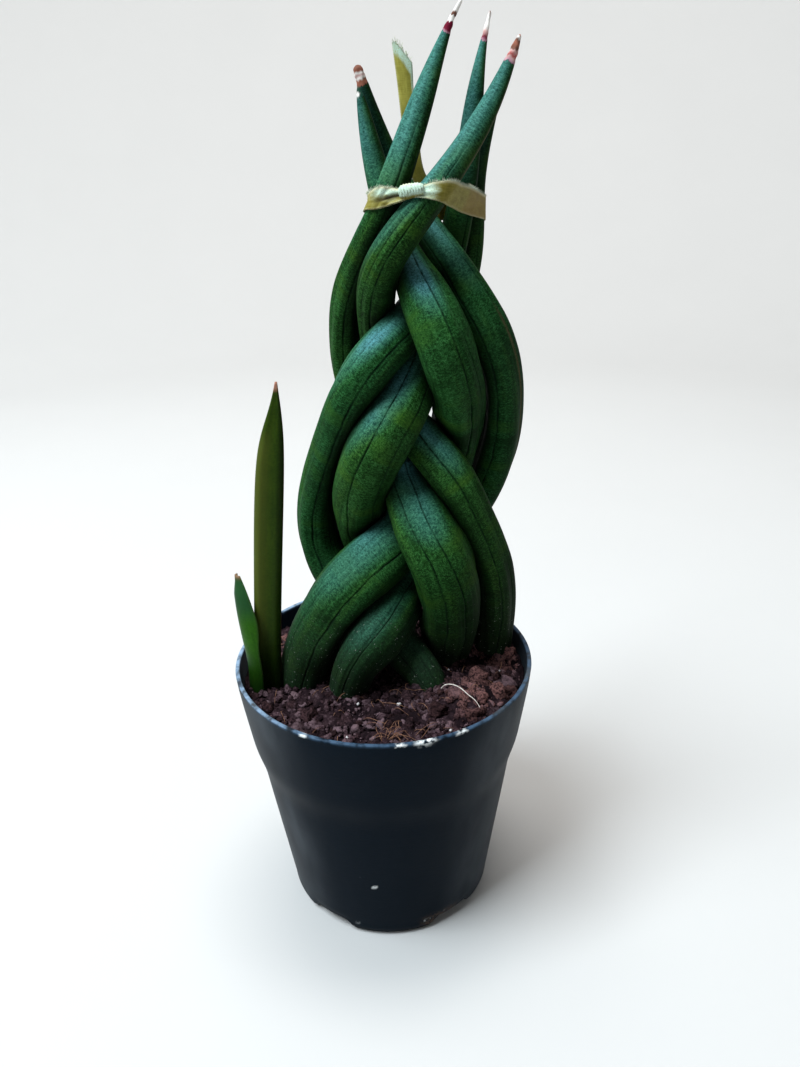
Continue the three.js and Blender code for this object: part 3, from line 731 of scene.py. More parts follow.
PAPERY_LINES = {
    # name: which of its lines has dried to a thin brown edge, and between which shares of its length
    "leaf_left_inner": (6, 0.40, 0.72),
    "leaf_right_outer": (7, 0.84, 0.97),
}
PALE_SPOTS = {
    # name: how far below the tip, in which direction and how large, in millimetres and degrees
    "leaf_left_outer": (2.0, 235, 0.75),
}
DRY_TIP_LENGTHS = {
    "leaf_left_outer": 2.6, "leaf_left_inner": 4.8, "leaf_right_inner": 8.0,
    "leaf_right_outer": 6.5, "leaf_front": 7.2, "leaf_behind": 3.0,
}
print(sum(len(lines) for lines in LINES.values()), "lines on", len(LINES), "leaves")

# %% [markdown]
# Soft leaves that were plaited young press on each other, and grow fat wherever there is room. An even
# tube leaves gaps that the real plait doesn't have. So each leaf is let out towards its neighbours,
# by up to a quarter of its own thickness, and stops at the plane where it meets the next leaf.
# For two balls of different sizes that plane lies where both have the same power distance, which
# a builder may know from foam: it is how bubbles of different sizes share a wall. Each leaf may go a
# fraction of a millimetre past that wall, so that no light shows between two leaves that touch.

# %% Leaves that press on each other
PLAIT_AXIS = [(4, 2, 90), (16, 2, 235)]
PRESS_GROWTH = 0.26
PRESS_OUTWARD = (-0.1, 0.75)
PRESS_STARTS = (92, 108)
PRESS_ENDS = (206, 226)
PRESS_STEP = 1.5
CONTACT_GAP = -0.45
LEAST_FACING = 0.05


def outward_share(walk, rim):
    """How far each direction on a leaf points away from the middle of the plait, from -1 to 1."""
    (x0, y0, z0), (x1, y1, z1) = PLAIT_AXIS
    share = ((walk.centre[:, 2] - z0) / (z1 - z0))[:, None]
    axis = np.hstack([x0 + share * (x1 - x0), y0 + share * (y1 - y0)])
    away = np.zeros_like(walk.centre)
    away[:, :2] = walk.centre[:, :2] - axis
    return np.einsum("nsk,nk->ns", rim, unit(away + 1e-6))


def wall_towards(other, walk, rim):
    """How far each point may go before it meets another leaf."""
    balls = walk_along(LEAVES[other], PRESS_STEP)
    way = balls.centre[None] - walk.centre[:, None]
    apart = np.linalg.norm(way, axis=-1)
    power = apart ** 2 + (walk.size[:, None] / 2) ** 2 - (balls.size[None] / 2) ** 2
    wall = power / (2 * apart) - CONTACT_GAP / 2
    facing = np.einsum("nsk,nmk->nsm", rim, way / apart[..., None])
    limit = np.where(facing > LEAST_FACING, wall[:, None] / np.maximum(facing, LEAST_FACING), np.inf)
    return limit.min(axis=-1)


def pressed_reach(name, walk, rim):
    """How far each ring's points lie from its centre once the leaf has grown against its neighbours."""
    height = walk.centre[:, 2]
    growth = PRESS_GROWTH * soft_step(height, *PRESS_STARTS) * (1 - soft_step(height, *PRESS_ENDS))
    inward = 1 - soft_step(outward_share(walk, rim), *PRESS_OUTWARD)
    reach = (walk.size / 2)[:, None] * (1 + growth[:, None] * inward)
    for other in LEAVES:
        if other != name:
            reach = np.minimum(reach, wall_towards(other, walk, rim))
    return reach


print("a leaf may grow by", round(100 * PRESS_GROWTH), "percent towards the others")

# %% [markdown]
# The points of a ring are not spaced evenly. Seven lie across each line, close enough to draw its lips and
# its bottom, and wide steps lead to the next. So the lines are sharp and the mesh stays light. Between
# two lines the skin bulges a little.

# %% Points round a leaf
LINE_HALF_WIDTH = 0.85
LINE_ROOM_SHARE = 0.3
LINE_WANDER = (0.07, 0.03)
LINE_SECTION = [
    # place across the line and how deep it is there; less than 0 is a raised lip
    (-1.0, 0.0), (-0.5, -0.25), (-0.2, 0.45), (0.0, 1.0), (0.2, 0.45), (0.5, -0.25), (1.0, 0.0),
]
LINE_STRENGTH_LIMITS = (0.5, 1.2)
SKIN_STEP_DEG = 6.5
LEAST_RADIUS = 0.6


def line_angles(angles, share):
    """The angle of a line at each share of the leaf's length, in radians."""
    if len(angles) == 1:
        return np.full_like(share, math.radians(angles[0]))
    guides = [(angle, 0) for angle in angles]
    return np.radians(spline_at(guides, share * (len(angles) - 1))[:, 0])


def wandering_lines(lines, walk):
    """The angle and the strength of each line at each ring, both a little uneven."""
    row = np.c_[walk.distance, 0 * walk.distance, 0 * walk.distance]
    broad, fine = LINE_WANDER
    places, strengths = [], []
    for k, (strength, angles) in enumerate(lines):
        wander = broad * lumps(row, 12, k) + fine * lumps(row, 3, k + 40)
        places.append(line_angles(angles, walk.share) + wander)
        strengths.append(strength * np.clip(0.85 + 0.8 * lumps(row, 8, k + 80), *LINE_STRENGTH_LIMITS))
    return places, strengths


def leaf_section(lines, walk):
    """The angles of each ring's points, with how deep in a line and how far into a flute each lies."""
    radius = np.maximum(walk.size / 2, LEAST_RADIUS)
    places, strengths = wandering_lines(lines, walk)
    turns, depths, flutes = [], [], []
    for k, here in enumerate(places):
        last = k == len(places) - 1
        following = places[0] + 2 * math.pi if last else places[k + 1]
        room = following - here
        behind = here - (places[k - 1] if k else places[-1] - 2 * math.pi)
        half = np.minimum(LINE_HALF_WIDTH / radius, LINE_ROOM_SHARE * np.minimum(room, behind))
        next_room = (places[1] - places[0]) if last else room
        next_half = np.minimum(LINE_HALF_WIDTH / radius, LINE_ROOM_SHARE * np.minimum(room, next_room))
        for offset, depth in LINE_SECTION:
            turns.append(here + offset * half)
            depths.append(depth * strengths[k])
            flutes.append(np.ones_like(here))
        steps = max(2, int(round(np.degrees(np.mean(room)) / SKIN_STEP_DEG)))
        for i in range(1, steps):
            way = i / steps
            turns.append(here + half + way * (room - half - next_half))
            depths.append(np.zeros_like(here))
            flutes.append(np.full_like(here, 1 - math.sin(math.pi * way)))
    return np.array(turns).T, np.array(depths).T, np.array(flutes).T


front_walk = walk_along(LEAVES["leaf_front"], 10)
print("points round the front leaf:", leaf_section(LINES["leaf_front"], front_walk)[0].shape[1])

# %% [markdown]
# The skin then gets its last unevenness: flutes and lines that fade out towards the thin end, broad
# swells of a fifth of a millimetre, and a tip that has shrivelled where it is dry and is rounded off.

# %% Shape of a leaf
LINES_FADE_AT = (5.5, 10)
LINE_DEPTH = 0.46
FLUTE_SHARE = 0.045
SWELL_DEPTH = 0.22
SWELL_SIZE = 10
DRY_FROM_SHARE = 0.75
DRY_SHRINKING = 0.06
SHRIVEL_SHARE = 0.28
SHRIVEL_SIZE = 1.3
TIP_ROUNDING = 0.9
TIP_BLUNTNESS = 0.96


def leaf_shape(name, walk):
    """The points of a leaf's skin, and what its finish has to know of them."""
    turn, depth, flute = leaf_section(LINES[name], walk)
    fade = soft_step(walk.size, *LINES_FADE_AT)[:, None]
    from_tip = (walk.distance[-1] - walk.distance)[:, None] + 0 * turn
    dry_length = DRY_TIP_LENGTHS[name]
    dry = 1 - soft_step(from_tip, dry_length * DRY_FROM_SHARE, dry_length)
    rim = round_rim(walk, turn)
    reach = pressed_reach(name, walk, rim)
    plain = walk.centre[:, None] + rim * reach[..., None]
    reach = reach * (1 - FLUTE_SHARE * flute * fade) - LINE_DEPTH * depth * fade
    reach -= SWELL_DEPTH * fade * (0.5 + 0.5 * lumps(plain, SWELL_SIZE))
    reach *= 1 - dry * (DRY_SHRINKING + SHRIVEL_SHARE * lumps(plain, SHRIVEL_SIZE, 5))
    reach *= np.sqrt(np.clip(1 - (1 - from_tip / TIP_ROUNDING).clip(0, TIP_BLUNTNESS) ** 2, 0, 1))
    along = walk.distance[:, None] + 0 * turn
    return SimpleNamespace(
        points=walk.centre[:, None] + rim * reach[..., None], plain=plain, turn=turn, rim=rim,
        line=np.clip(depth, 0, 1) * fade, from_tip=from_tip, dry_length=dry_length,
        straight=np.stack([reach * np.cos(turn), reach * np.sin(turn), along], -1),
    )


front_shape = leaf_shape("leaf_front", front_walk)
print("the front leaf reaches", round(front_shape.points[..., 2].max(), 1), "mm above the floor")

# %% [markdown]
# Wax bloom, with a painted highlight over it, is laid on the sides that face the sky and the light, and
# on the front of the tips. Painted shade darkens the skin where a leaf lies close to another, near the
# soil, and underneath. Both are measured on the mesh, not from the camera, so they hold all round.

# %% Bloom, painted highlight and painted shade on the leaves
# directions towards the light, towards the front and away from the light, for the painted highlight and the
# painted shade
SKY_SIDE = (-0.25, -0.35, 0.90)
FRONT_SIDE = (-0.75, -0.65, 0.1)
SHADOW_SIDE = (0.75, 0.10, -0.65)
LOW_BLOOM_AND_HIGHLIGHT = 0.35
LOW_BLOOM_AND_HIGHLIGHT_TO = (100, 150)
UPPER_HIGHLIGHT = 0.75
UPPER_HIGHLIGHT_FROM = (230, 250)
BLOOM_AND_HIGHLIGHT_PATCH_SIZE = 16
SOIL_LEVEL = 88
LOW_SHADE_FROM_SOIL = (2, 58)
DUST_ABOVE_SOIL = 38
CLOSE_SHADE = 6.5
CLOSE_STEP = 2.5
CREVICE_SHADE, LOW_SHADE, UNDER_SHADE = 0.92, 0.75, 0.60


def turned_to(side, shape, low, high):
    """0 where the skin is turned away from a side, and 1 where it faces it."""
    return soft_step(shape.rim @ unit(np.array(side)), low, high)


# painted highlight with the wax bloom: on skin turned to the sky and the light, less low down, and at the top
# on skin turned to the front
def bloom_and_painted_highlight(shape):
    height = shape.points[..., 2]
    most = LOW_BLOOM_AND_HIGHLIGHT + (1 - LOW_BLOOM_AND_HIGHLIGHT) * soft_step(height, *LOW_BLOOM_AND_HIGHLIGHT_TO)
    patchy = 0.85 + 0.7 * lumps(shape.plain, BLOOM_AND_HIGHLIGHT_PATCH_SIZE, 7)
    bloom_and_highlight = np.clip(turned_to(SKY_SIDE, shape, 0.45, 1.0) * most * patchy, 0, 1)
    upper = soft_step(height, *UPPER_HIGHLIGHT_FROM) * turned_to(FRONT_SIDE, shape, -0.2, 0.9)
    return np.maximum(bloom_and_highlight, UPPER_HIGHLIGHT * upper)


def closeness(name, points):
    """1 where a point of a leaf lies on another leaf, fading to 0 a few millimetres away from it."""
    room = np.full(points.shape[:-1], np.inf)
    for other, guides in LEAVES.items():
        if other != name:
            balls = walk_along(guides, CLOSE_STEP)
            for centre, size in zip(balls.centre, balls.size):
                room = np.minimum(room, np.linalg.norm(points - centre, axis=-1) - size / 2)
    return 1 - soft_step(room, 0, CLOSE_SHADE)


# painted shade: darker where a leaf lies close to another, near the soil, and on the side turned from the
# light
def leaf_shade(name, shape):
    near, far = LOW_SHADE_FROM_SOIL
    near_soil = 1 - soft_step(shape.points[..., 2], SOIL_LEVEL + near, SOIL_LEVEL + far)
    underside = turned_to(SHADOW_SIDE, shape, -0.1, 0.85)
    lit = 1 - CREVICE_SHADE * closeness(name, shape.points)
    return 1 - lit * (1 - LOW_SHADE * near_soil) * (1 - UNDER_SHADE * underside)


print("the front leaf's mean bloom", bloom_and_painted_highlight(front_shape).mean().round(2),
      "and mean shade", leaf_shade("leaf_front", front_shape).mean().round(2))

# %% [markdown]
# Two marks belong to single leaves. The brown paper edge and the pale scar are drawn by the distance from
# a line or a spot on the skin, so they follow the leaf.

# %% Paper edge and pale scar
PAPER_HALF_WIDTH = (0.25, 0.75)
PAPER_FADE_SHARE = 0.03


def off_direction(turn, direction):
    """How far an angle lies from a direction, either way."""
    return (turn - direction + math.pi) % (2 * math.pi) - math.pi


def papery_edge(name, shape, walk):
    """1 along the line that has dried to a thin edge, and 0 away from it."""
    if name not in PAPERY_LINES:
        return 0 * shape.turn
    which, start, stop = PAPERY_LINES[name]
    middle = line_angles(LINES[name][which][1], walk.share)[:, None]
    off = np.abs(off_direction(shape.turn, middle)) * walk.size[:, None] / 2
    starts = soft_step(walk.share, start, start + PAPER_FADE_SHARE)
    along = starts * (1 - soft_step(walk.share, stop - PAPER_FADE_SHARE, stop))
    return (1 - soft_step(off, *PAPER_HALF_WIDTH)) * along[:, None]


def pale_spot(name, shape, walk):
    """1 in the small pale scar below the tip of one leaf."""
    if name not in PALE_SPOTS:
        return 0 * shape.turn
    below, direction, size = PALE_SPOTS[name]
    off = off_direction(shape.turn, math.radians(direction)) * walk.size[:, None] / 2
    return 1 - soft_step(np.hypot(off, shape.from_tip - below), 0.5 * size, size)


print("paper edges:", len(PAPERY_LINES), "pale scars:", len(PALE_SPOTS))

# %% [markdown]
# Every leaf is made by the same steps: walk along its guides, shape the rings, join them into a skin, and
# store on it what the finish reads. The skin then takes the solid's place.

# %% Make the leaves
LEAF_STEP = 1.15
TIP_STEP = 0.35


def make_leaf(name):
    walk = walk_along(LEAVES[name], LEAF_STEP, TIP_STEP)
    shape = leaf_shape(name, walk)
    skin = skin_piece("skin_of_" + name, shape.points, leaf_finishes[name])
    carry(skin, "straight", shape.straight)
    carry(skin, "line", shape.line)
    carry(skin, "paper", papery_edge(name, shape, walk))
    carry(skin, "bloom_and_highlight", bloom_and_painted_highlight(shape))
    carry(skin, "shade", leaf_shade(name, shape))
    carry(skin, "spot", pale_spot(name, shape, walk))
    carry(skin, "tip", np.clip(1 - shape.from_tip / shape.dry_length, -1, 1))
    carry(skin, "low", 1 - soft_step(shape.points[..., 2], SOIL_LEVEL, SOIL_LEVEL + DUST_ABOVE_SOIL))
    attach(skin, "root")
    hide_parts(name)
    print(name, "length", round(walk.distance[-1]), "mm,", len(skin.data.polygons), "faces")


for leaf_name in LEAVES:
    make_leaf(leaf_name)

# %% [markdown]
# ## The soil
# Potting soil for these plants is coir and peat: reddish-brown crumbs of all sizes, with gaps that
# are nearly black, tan fibres and a few white grains of perlite. A bumpy sheet alone looks like mud,
# so the heap is built in three layers: a lumpy ground that fills the pot, thousands of loose
# crumbs of different sizes half sunk into it, and fibres lying on top. One recipe colours all crumbs:
# each mesh says how light its soil is, the crumbs also how red, and the rest is noise.

# %% Finish of the soil
SOIL_DARK = (0.005, 0.0025, 0.0035)
SOIL_MIDDLE = (0.020, 0.0105, 0.0130)
SOIL_LIGHT = (0.090, 0.058, 0.066)
SOIL_RED = (0.135, 0.062, 0.056)
CRUMB_MIDDLE = (0.028, 0.015, 0.019)
CRUMB_LIGHT = (0.120, 0.078, 0.090)
CLOUD_TIMES = 6


def soil_finish(name, dark, middle, light, crumb):
    finish, tree = new_finish(name)
    where = place_in_space(tree)
    fine = grain(tree, where, crumb, detail=5, rough=0.7)
    broad = grain(tree, where, crumb * CLOUD_TIMES, detail=2)
    tone = maths(tree, "ADD", fine, maths(tree, "MULTIPLY", measure(tree, "tone"), 0.35))
    colour = ramp(tree, tone, [(0.38, dark), (0.58, middle), (0.82, light)])
    colour = blend(tree, maths(tree, "MULTIPLY", broad, 0.4), colour, dark)
    colour = blend(tree, patches(tree, fine, 0.35, 0.60, measure(tree, "red")), colour, SOIL_RED)
    relief = bump(tree, fine, 0.5)
    cover(tree, Base_Color=colour, Roughness=0.9, Normal=relief, Specular_IOR_Level=0.05)
    return finish


ground_finish = soil_finish("damp_ground", SOIL_DARK, SOIL_MIDDLE, SOIL_LIGHT, 1.4)
crumb_finish = soil_finish("loose_crumbs", SOIL_DARK, CRUMB_MIDDLE, CRUMB_LIGHT, 0.7)
print("soil finishes:", ground_finish.name, "and", crumb_finish.name)

# %% [markdown]
# The ground follows the solid's own rule for its height: a level a little below the rim, a few broad
# heaps and hollows, and crumbs over all of it. Finer crumbs are added on top of that rule. It reaches
# to the pot's wall, whose outside is a short list of radii, so those stand here first.

# %% Level of the soil
POT_WALL = 1.4
GAP = 0.35
POT_OUTSIDE = [
    # radius, depth below the rim
    (50.0, 1.2), (49.2, 8), (47.6, 19), (46.4, 27), (45.2, 31), (43.9, 36), (42.0, 50), (39.2, 70),
    (36.5, 89.5),
]
SOIL_DEPTH_BELOW_RIM = 6.4
SOIL_HEAPS = [
    # x, y, height, spread
    (27, -24, 6.6, 12), (4, -42, 3.4, 13), (30, 6, 3.2, 13),
    (-34, 0, -1.8, 14), (2, 36, -1.0, 16), (6, -12, 1.2, 12),
]


def pot_radius_at(z):
    radii, depths = zip(*POT_OUTSIDE)
    return np.interp(POT_HEIGHT - np.asarray(z, float), depths, radii)


def soil_level(x, y):
    """The smooth height of the soil at a place, in millimetres."""
    height = np.full(np.shape(x), POT_HEIGHT - SOIL_DEPTH_BELOW_RIM)
    for heap_x, heap_y, rise, spread in SOIL_HEAPS:
        distance = np.hypot(x - heap_x, y - heap_y)
        height = height + rise * np.exp(-((distance / spread) ** 2))
    return height


print("soil at the middle", float(soil_level(0, 0).round(1)), "mm, pot", POT_HEIGHT, "mm high")

# %% [markdown]
# The ground's rings run from the floor of the pot up its wall, and then inwards over the top. Lumps of
# three sizes make its crumbs: each is a noise folded at zero, which gives sharp gaps between round
# tops. A plain noise would give soft waves.

# %% Ground
SOIL_FLOOR = 6.2
GROUND_AROUND = 300
GROUND_RINGS = 84
GROUND_SIDE_HEIGHTS = (30, 60)
GROUND_LUMPS = ((6.0, 1.9), (2.8, 1.2), (1.2, 0.7))
LUMP_TOP, LUMP_SINK = 1.6, 0.45


def crumbly_height(x, y):
    """The height with its crumbs: rounded lumps of three sizes with sharp gaps between them."""
    height = soil_level(x, y)
    flat = np.stack([x, y, 0 * x], -1)
    for size, rise in GROUND_LUMPS:
        height = height + rise * np.abs(lumps(flat, size, size)) * LUMP_TOP - rise * LUMP_SINK
    return height


def make_ground():
    level = POT_HEIGHT - SOIL_DEPTH_BELOW_RIM
    angle = full_turn(GROUND_AROUND)
    side_heights = np.array([SOIL_FLOOR, SOIL_FLOOR + 0.2, *GROUND_SIDE_HEIGHTS, level - 3])
    side_radii = pot_radius_at(side_heights) - POT_WALL - GAP
    side_radii[0] = 0.5
    edge = float(pot_radius_at(level)) - POT_WALL - GAP
    rings = [ring_at(r, angle, z) for r, z in zip(side_radii, side_heights)]
    for r in edge * np.linspace(1, 0.01, GROUND_RINGS):
        x, y = r * np.cos(angle), r * np.sin(angle)
        rings.append(np.c_[x, y, crumbly_height(x, y)])
    ground = skin_piece("ground", np.array(rings), ground_finish)
    carry(ground, "tone", lumps(rings, 9, 3))
    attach(ground, "root")
    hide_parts("soil")
    return ground


print("ground", len(make_ground().data.polygons), "faces")

# %% [markdown]
# A crumb starts as a small ball, is squashed and turned at random, and noise pulls its skin into an
# irregular lump. The smallest have twenty faces, the others eighty and the clods over three hundred.

# %% One crumb
def unit_ball(level):
    """Points and triangles of a ball of radius 1."""
    ball = bmesh.new()
    bmesh.ops.create_icosphere(ball, subdivisions=level, radius=1)
    points = np.array([v.co[:] for v in ball.verts])
    faces = np.array([[v.index for v in face.verts] for face in ball.faces])
    ball.free()
    return points, faces


def random_turn(draw):
    """A random rotation matrix."""
    a = unit(draw.normal(size=3))
    b = draw.normal(size=3)
    b = unit(b - a @ b * a)
    return np.stack([a, b, np.cross(a, b)])


def random_place(draw, reach):
    """A place in the pot, as likely in one spot as in any other, within reach of the axis."""
    radius = reach * math.sqrt(draw.random())
    angle = draw.uniform(0, 2 * math.pi)
    return radius * math.cos(angle), radius * math.sin(angle)


def lumpy_ball(draw, ball, diameter, flatness, roughness):
    """A copy of the ball as an irregular lump of that diameter."""
    squash = np.array([1, draw.uniform(0.65, 1), draw.uniform(*flatness)])
    dents = lumps(ball * 1.3, 1, draw.uniform(0, 90)) + 0.5 * lumps(ball * 3, 1, draw.uniform(0, 90))
    shape = ball * (1 + roughness * dents)[:, None] * squash * diameter / 2
    return shape @ random_turn(draw)


crumb_balls = [unit_ball(level) for level in (1, 2, 3)]
print("faces of a crumb:", [len(faces) for _, faces in crumb_balls])

# %% [markdown]
# The crumbs are one mesh. Most are about a millimetre across and a few reach four, and a short list names
# the clods that stand out in the photograph. None is put where a leaf's foot is. The draw is seeded, so
# the heap is the same each time.

# %% Crumbs
CRUMB_COUNT = 3600
CRUMB_SIZES = (0.5, 4.2)
CRUMB_SMALLNESS = 1.8
CRUMB_SEED = 11
CRUMB_FLATNESS = (0.45, 0.9)
CRUMB_ROUGHNESS = 0.85
CRUMB_RISE = (-0.30, 0.12)
FINE_CRUMB = 1.3
FOOT_CLEARANCE = 1.0
RED_SOIL = [
    # x, y and reach of the reddish places
    (43, 8, 13), (-35, 18, 12), (30, -24, 10),
]
BIG_CRUMBS = [
    # x, y, diameter of the clods that stand out: right of the plait, and behind it at the left
    (40, -3, 7.5), (43, 4, 6.0), (37, 14, 6.5), (41, -12, 6.5), (34, -22, 8.0), (27, -26, 7.5),
    (22, -24, 6.5), (31, -17, 7.0), (40, -20, 6.0), (17, -30, 5.5), (28, -33, 5.5), (-36, 14, 7.5),
    (-31, 20, 6.5), (-41, 6, 5.5), (-12, -30, 5.0), (-20, 27, 6.0), (-24, -27, 5.0), (4, -32, 5.0),
]


def inside_a_leaf(x, y, z):
    """True where a place lies within a leaf's foot."""
    for guides in LEAVES.values():
        foot = spline_at(guides, np.linspace(0, 3, 60))
        gap = np.linalg.norm(foot[:, :3] - (x, y, z), axis=1) - foot[:, 3] / 2
        if gap.min() < -FOOT_CLEARANCE:
            return True
    return False


def redness(x, y):
    """How reddish the soil is at a place: it is drier and redder at the far right and behind at the left."""
    return max(math.exp(-((x - at_x) ** 2 + (y - at_y) ** 2) / reach ** 2) for at_x, at_y, reach in RED_SOIL)


def choose_crumbs(draw):
    """Place, diameter and ball of each crumb: the clods first, then loose ones, most of them small."""
    limit = float(pot_radius_at(POT_HEIGHT - SOIL_DEPTH_BELOW_RIM)) - POT_WALL - 1.0
    small, middling, large = crumb_balls
    chosen = [(x, y, diameter, large) for x, y, diameter in BIG_CRUMBS]
    low, high = CRUMB_SIZES
    while len(chosen) < CRUMB_COUNT:
        diameter = low * (high / low) ** (draw.random() ** CRUMB_SMALLNESS)
        x, y = random_place(draw, limit - diameter / 2)
        chosen.append((x, y, diameter, small if diameter < FINE_CRUMB else middling))
    return chosen


def make_crumbs():
    draw = np.random.default_rng(CRUMB_SEED)
    points, faces, tones, reds, count = [], [], [], [], 0
    for x, y, diameter, (ball, ball_faces) in choose_crumbs(draw):
        height = float(soil_level(x, y))
        if inside_a_leaf(x, y, height):
            continue
        lump = lumpy_ball(draw, ball, diameter, CRUMB_FLATNESS, CRUMB_ROUGHNESS)
        rise = diameter * draw.uniform(*CRUMB_RISE)
        points.append(lump + (x, y, height + rise))
        faces.append(ball_faces + count)
        tone = draw.normal(0.1, 0.5) + 0.6 * noise.noise(Vector((x, y, 0)) / 14)
        tones.append(np.full(len(ball), tone))
        reds.append(np.full(len(ball), min(1, redness(x, y) + draw.uniform(0, 0.12))))
        count += len(ball)
    crumbs = mesh_piece("crumbs", np.concatenate(points), np.concatenate(faces).tolist(), crumb_finish)
    carry(crumbs, "tone", np.concatenate(tones))
    carry(crumbs, "red", np.concatenate(reds))
    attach(crumbs, "root")
    return crumbs


print("crumbs", len(make_crumbs().data.polygons), "faces")

# %% [markdown]
# ## Small things on the soil
# Loose on top lie coir fibres, a few white grains of perlite, and one pale root that has come up at the
# right of the front leaf. Each has one colour between two tones, so one recipe serves them all. A fibre
# or a root is a thin bent tube with few sides, since it is a fraction of a millimetre thick.

# %% Thin tubes and plain finishes
PLAIN_RELIEF = 0.05


def plain_finish(name, dark, light, size):
    """One colour that varies softly between two tones, with fine relief."""
    finish, tree = new_finish(name)
    fine = grain(tree, place_in_space(tree), size, detail=4, rough=0.6)
    colour = ramp(tree, fine, [(0.35, dark), (0.65, light)])
    relief = bump(tree, fine, PLAIN_RELIEF)
    cover(tree, Base_Color=colour, Roughness=0.7, Normal=relief, Specular_IOR_Level=0.15)
    return finish


def thin_tube(guides, step, sides):
    """Points and faces of a closed tube along guides whose fourth number is its thickness."""
    walk = walk_along(guides, step)
    rings = walk.centre[:, None] + round_rim(walk, full_turn(sides)) * (walk.size / 2)[:, None, None]
    return rings.reshape(-1, 3), closed_faces(len(rings), sides)


def joined_piece(name, parts, finish):
    """One mesh object from several loose (points, faces)."""
    points, faces, count = [], [], 0
    for part_points, part_faces in parts:
        points.append(part_points)
        faces += [[count + corner for corner in face] for face in part_faces]
        count += len(part_points)
    return mesh_piece(name, np.concatenate(points), faces, finish)


print("faces of a short tube:", len(thin_tube([(0, 0, 0, 1), (0, 0, 3, 1)], 1, 4)[1]))

# %% [markdown]
# A fibre starts anywhere, wanders a little at each of its four steps, and is lifted off the soil in
# the middle, as a stiff hair lies on a heap. The first twenty-two lie in one tangle in front. Perlite
# grains are lumpy balls, and the root's way is drawn as a list of guides.

# %% Fibres, perlite and the pale root
FIBRE_COUNT = 110
FIBRE_SEED = 5
FIBRE_REACH = 45
FIBRE_LIMIT = 46
FIBRE_TANGLE = (3, -42, 22)
FIBRE_TANGLE_SPREAD = (3.5, 1.5)
FIBRE_LENGTHS = (3, 11)
FIBRE_THICKNESS = 0.17
FIBRE_BENDING = 0.5
FIBRE_LIFT = 0.3
PERLITE_COUNT = 12
PERLITE_REACH = 44
PERLITE_SIZES = (0.6, 1.7)
PERLITE_RISE = 0.9
ROOT = [
    # x, y, z, thickness along the root, from where it leaves the soil
    (18.2, -23.6, 93.0, 0.30), (19.4, -24.0, 94.9, 0.36), (22.0, -24.6, 95.2, 0.34),
    (24.6, -26.2, 94.6, 0.34), (26.2, -28.6, 93.8, 0.30), (28.4, -30.2, 93.2, 0.26),
    (29.6, -32.6, 91.8, 0.20),
]


def fibre_guides(draw, x, y):
    """A flat, wandering way from a place, as guides for a tube."""
    heading, length = draw.uniform(0, 2 * math.pi), draw.uniform(*FIBRE_LENGTHS)
    guides = []
    for i in range(5):
        guides.append([x, y, 0, FIBRE_THICKNESS * (0.5 if i in (0, 4) else 1)])
        heading += draw.normal(0, FIBRE_BENDING)
        x += length / 4 * math.cos(heading)
        y += length / 4 * math.sin(heading)
    return np.array(guides)


def make_fibres():
    draw = np.random.default_rng(FIBRE_SEED)
    tangle_x, tangle_y, tangled = FIBRE_TANGLE
    spread_x, spread_y = FIBRE_TANGLE_SPREAD
    parts = []
    while len(parts) < FIBRE_COUNT:
        x, y = random_place(draw, FIBRE_REACH)
        if len(parts) < tangled:
            x, y = tangle_x + draw.normal(0, spread_x), tangle_y + draw.normal(0, spread_y)
        guides = fibre_guides(draw, x, y)
        if np.hypot(guides[:, 0], guides[:, 1]).max() > FIBRE_LIMIT:
            continue
        lift = np.array([0.0, draw.uniform(0.3, 2.2), draw.uniform(0.3, 2.6), draw.uniform(0.3, 2.2), 0.1])
        guides[:, 2] = soil_level(guides[:, 0], guides[:, 1]) + FIBRE_LIFT + lift
        parts.append(thin_tube(guides, 0.7, 4))
    tan = plain_finish("coir_fibre", (0.07, 0.028, 0.018), (0.22, 0.11, 0.065), 2)
    return joined_piece("fibres", parts, tan)


def make_perlite():
    draw = np.random.default_rng(FIBRE_SEED + 1)
    ball, faces = crumb_balls[1]
    parts = []
    for _ in range(PERLITE_COUNT):
        x, y = random_place(draw, PERLITE_REACH)
        lump = lumpy_ball(draw, ball, draw.uniform(*PERLITE_SIZES), (0.6, 0.95), 0.4)
        parts.append((lump + (x, y, float(soil_level(x, y)) + PERLITE_RISE), faces.tolist()))
    white = plain_finish("perlite_white", (0.26, 0.24, 0.24), (0.46, 0.44, 0.44), 0.5)
    return joined_piece("perlite", parts, white)


def make_root():
    skin = plain_finish("root_skin", (0.30, 0.25, 0.22), (0.52, 0.48, 0.44), 0.8)
    return joined_piece("pale_root", [thin_tube(ROOT, 0.3, 8)], skin)


for small_piece in (make_fibres(), make_perlite(), make_root()):
    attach(small_piece, "root")
    print(small_piece.name, len(small_piece.data.polygons), "faces")

# %% [markdown]
# ## The pot
# A nursery pot is blown or pressed from thin recycled plastic, nearly black with a little blue in it.
# Handling leaves a dusty film, specks of dried water, fine scratches that run round it, and a rim worn
# pale in the stack. At the two sides the film also stands for a painted sheen, the grey that grazing
# light gives dark plastic. Each is a thin blend over the plastic, and the mesh carries where it lies.

# %% Finish of the pot
POT_BLACK = (0.0022, 0.0055, 0.0098)
POT_DUST_AND_SHEEN = (0.13, 0.145, 0.16)
RIM_DULL = (0.065, 0.120, 0.20)
RIM_PALE = (0.17, 0.24, 0.33)
SCUFF_WHITE = (0.62, 0.64, 0.64)
STAIN_BROWN = (0.09, 0.055, 0.035)
FILM_SIZE = 14
WATER_SPECK_SIZE = 1.1
SCRATCH_SIZE = 5
RIM_WEAR_SIZE = 3
SCUFF_GRAIN_SIZE = 1.6
PLASTIC_GRAIN_SIZE = 0.5


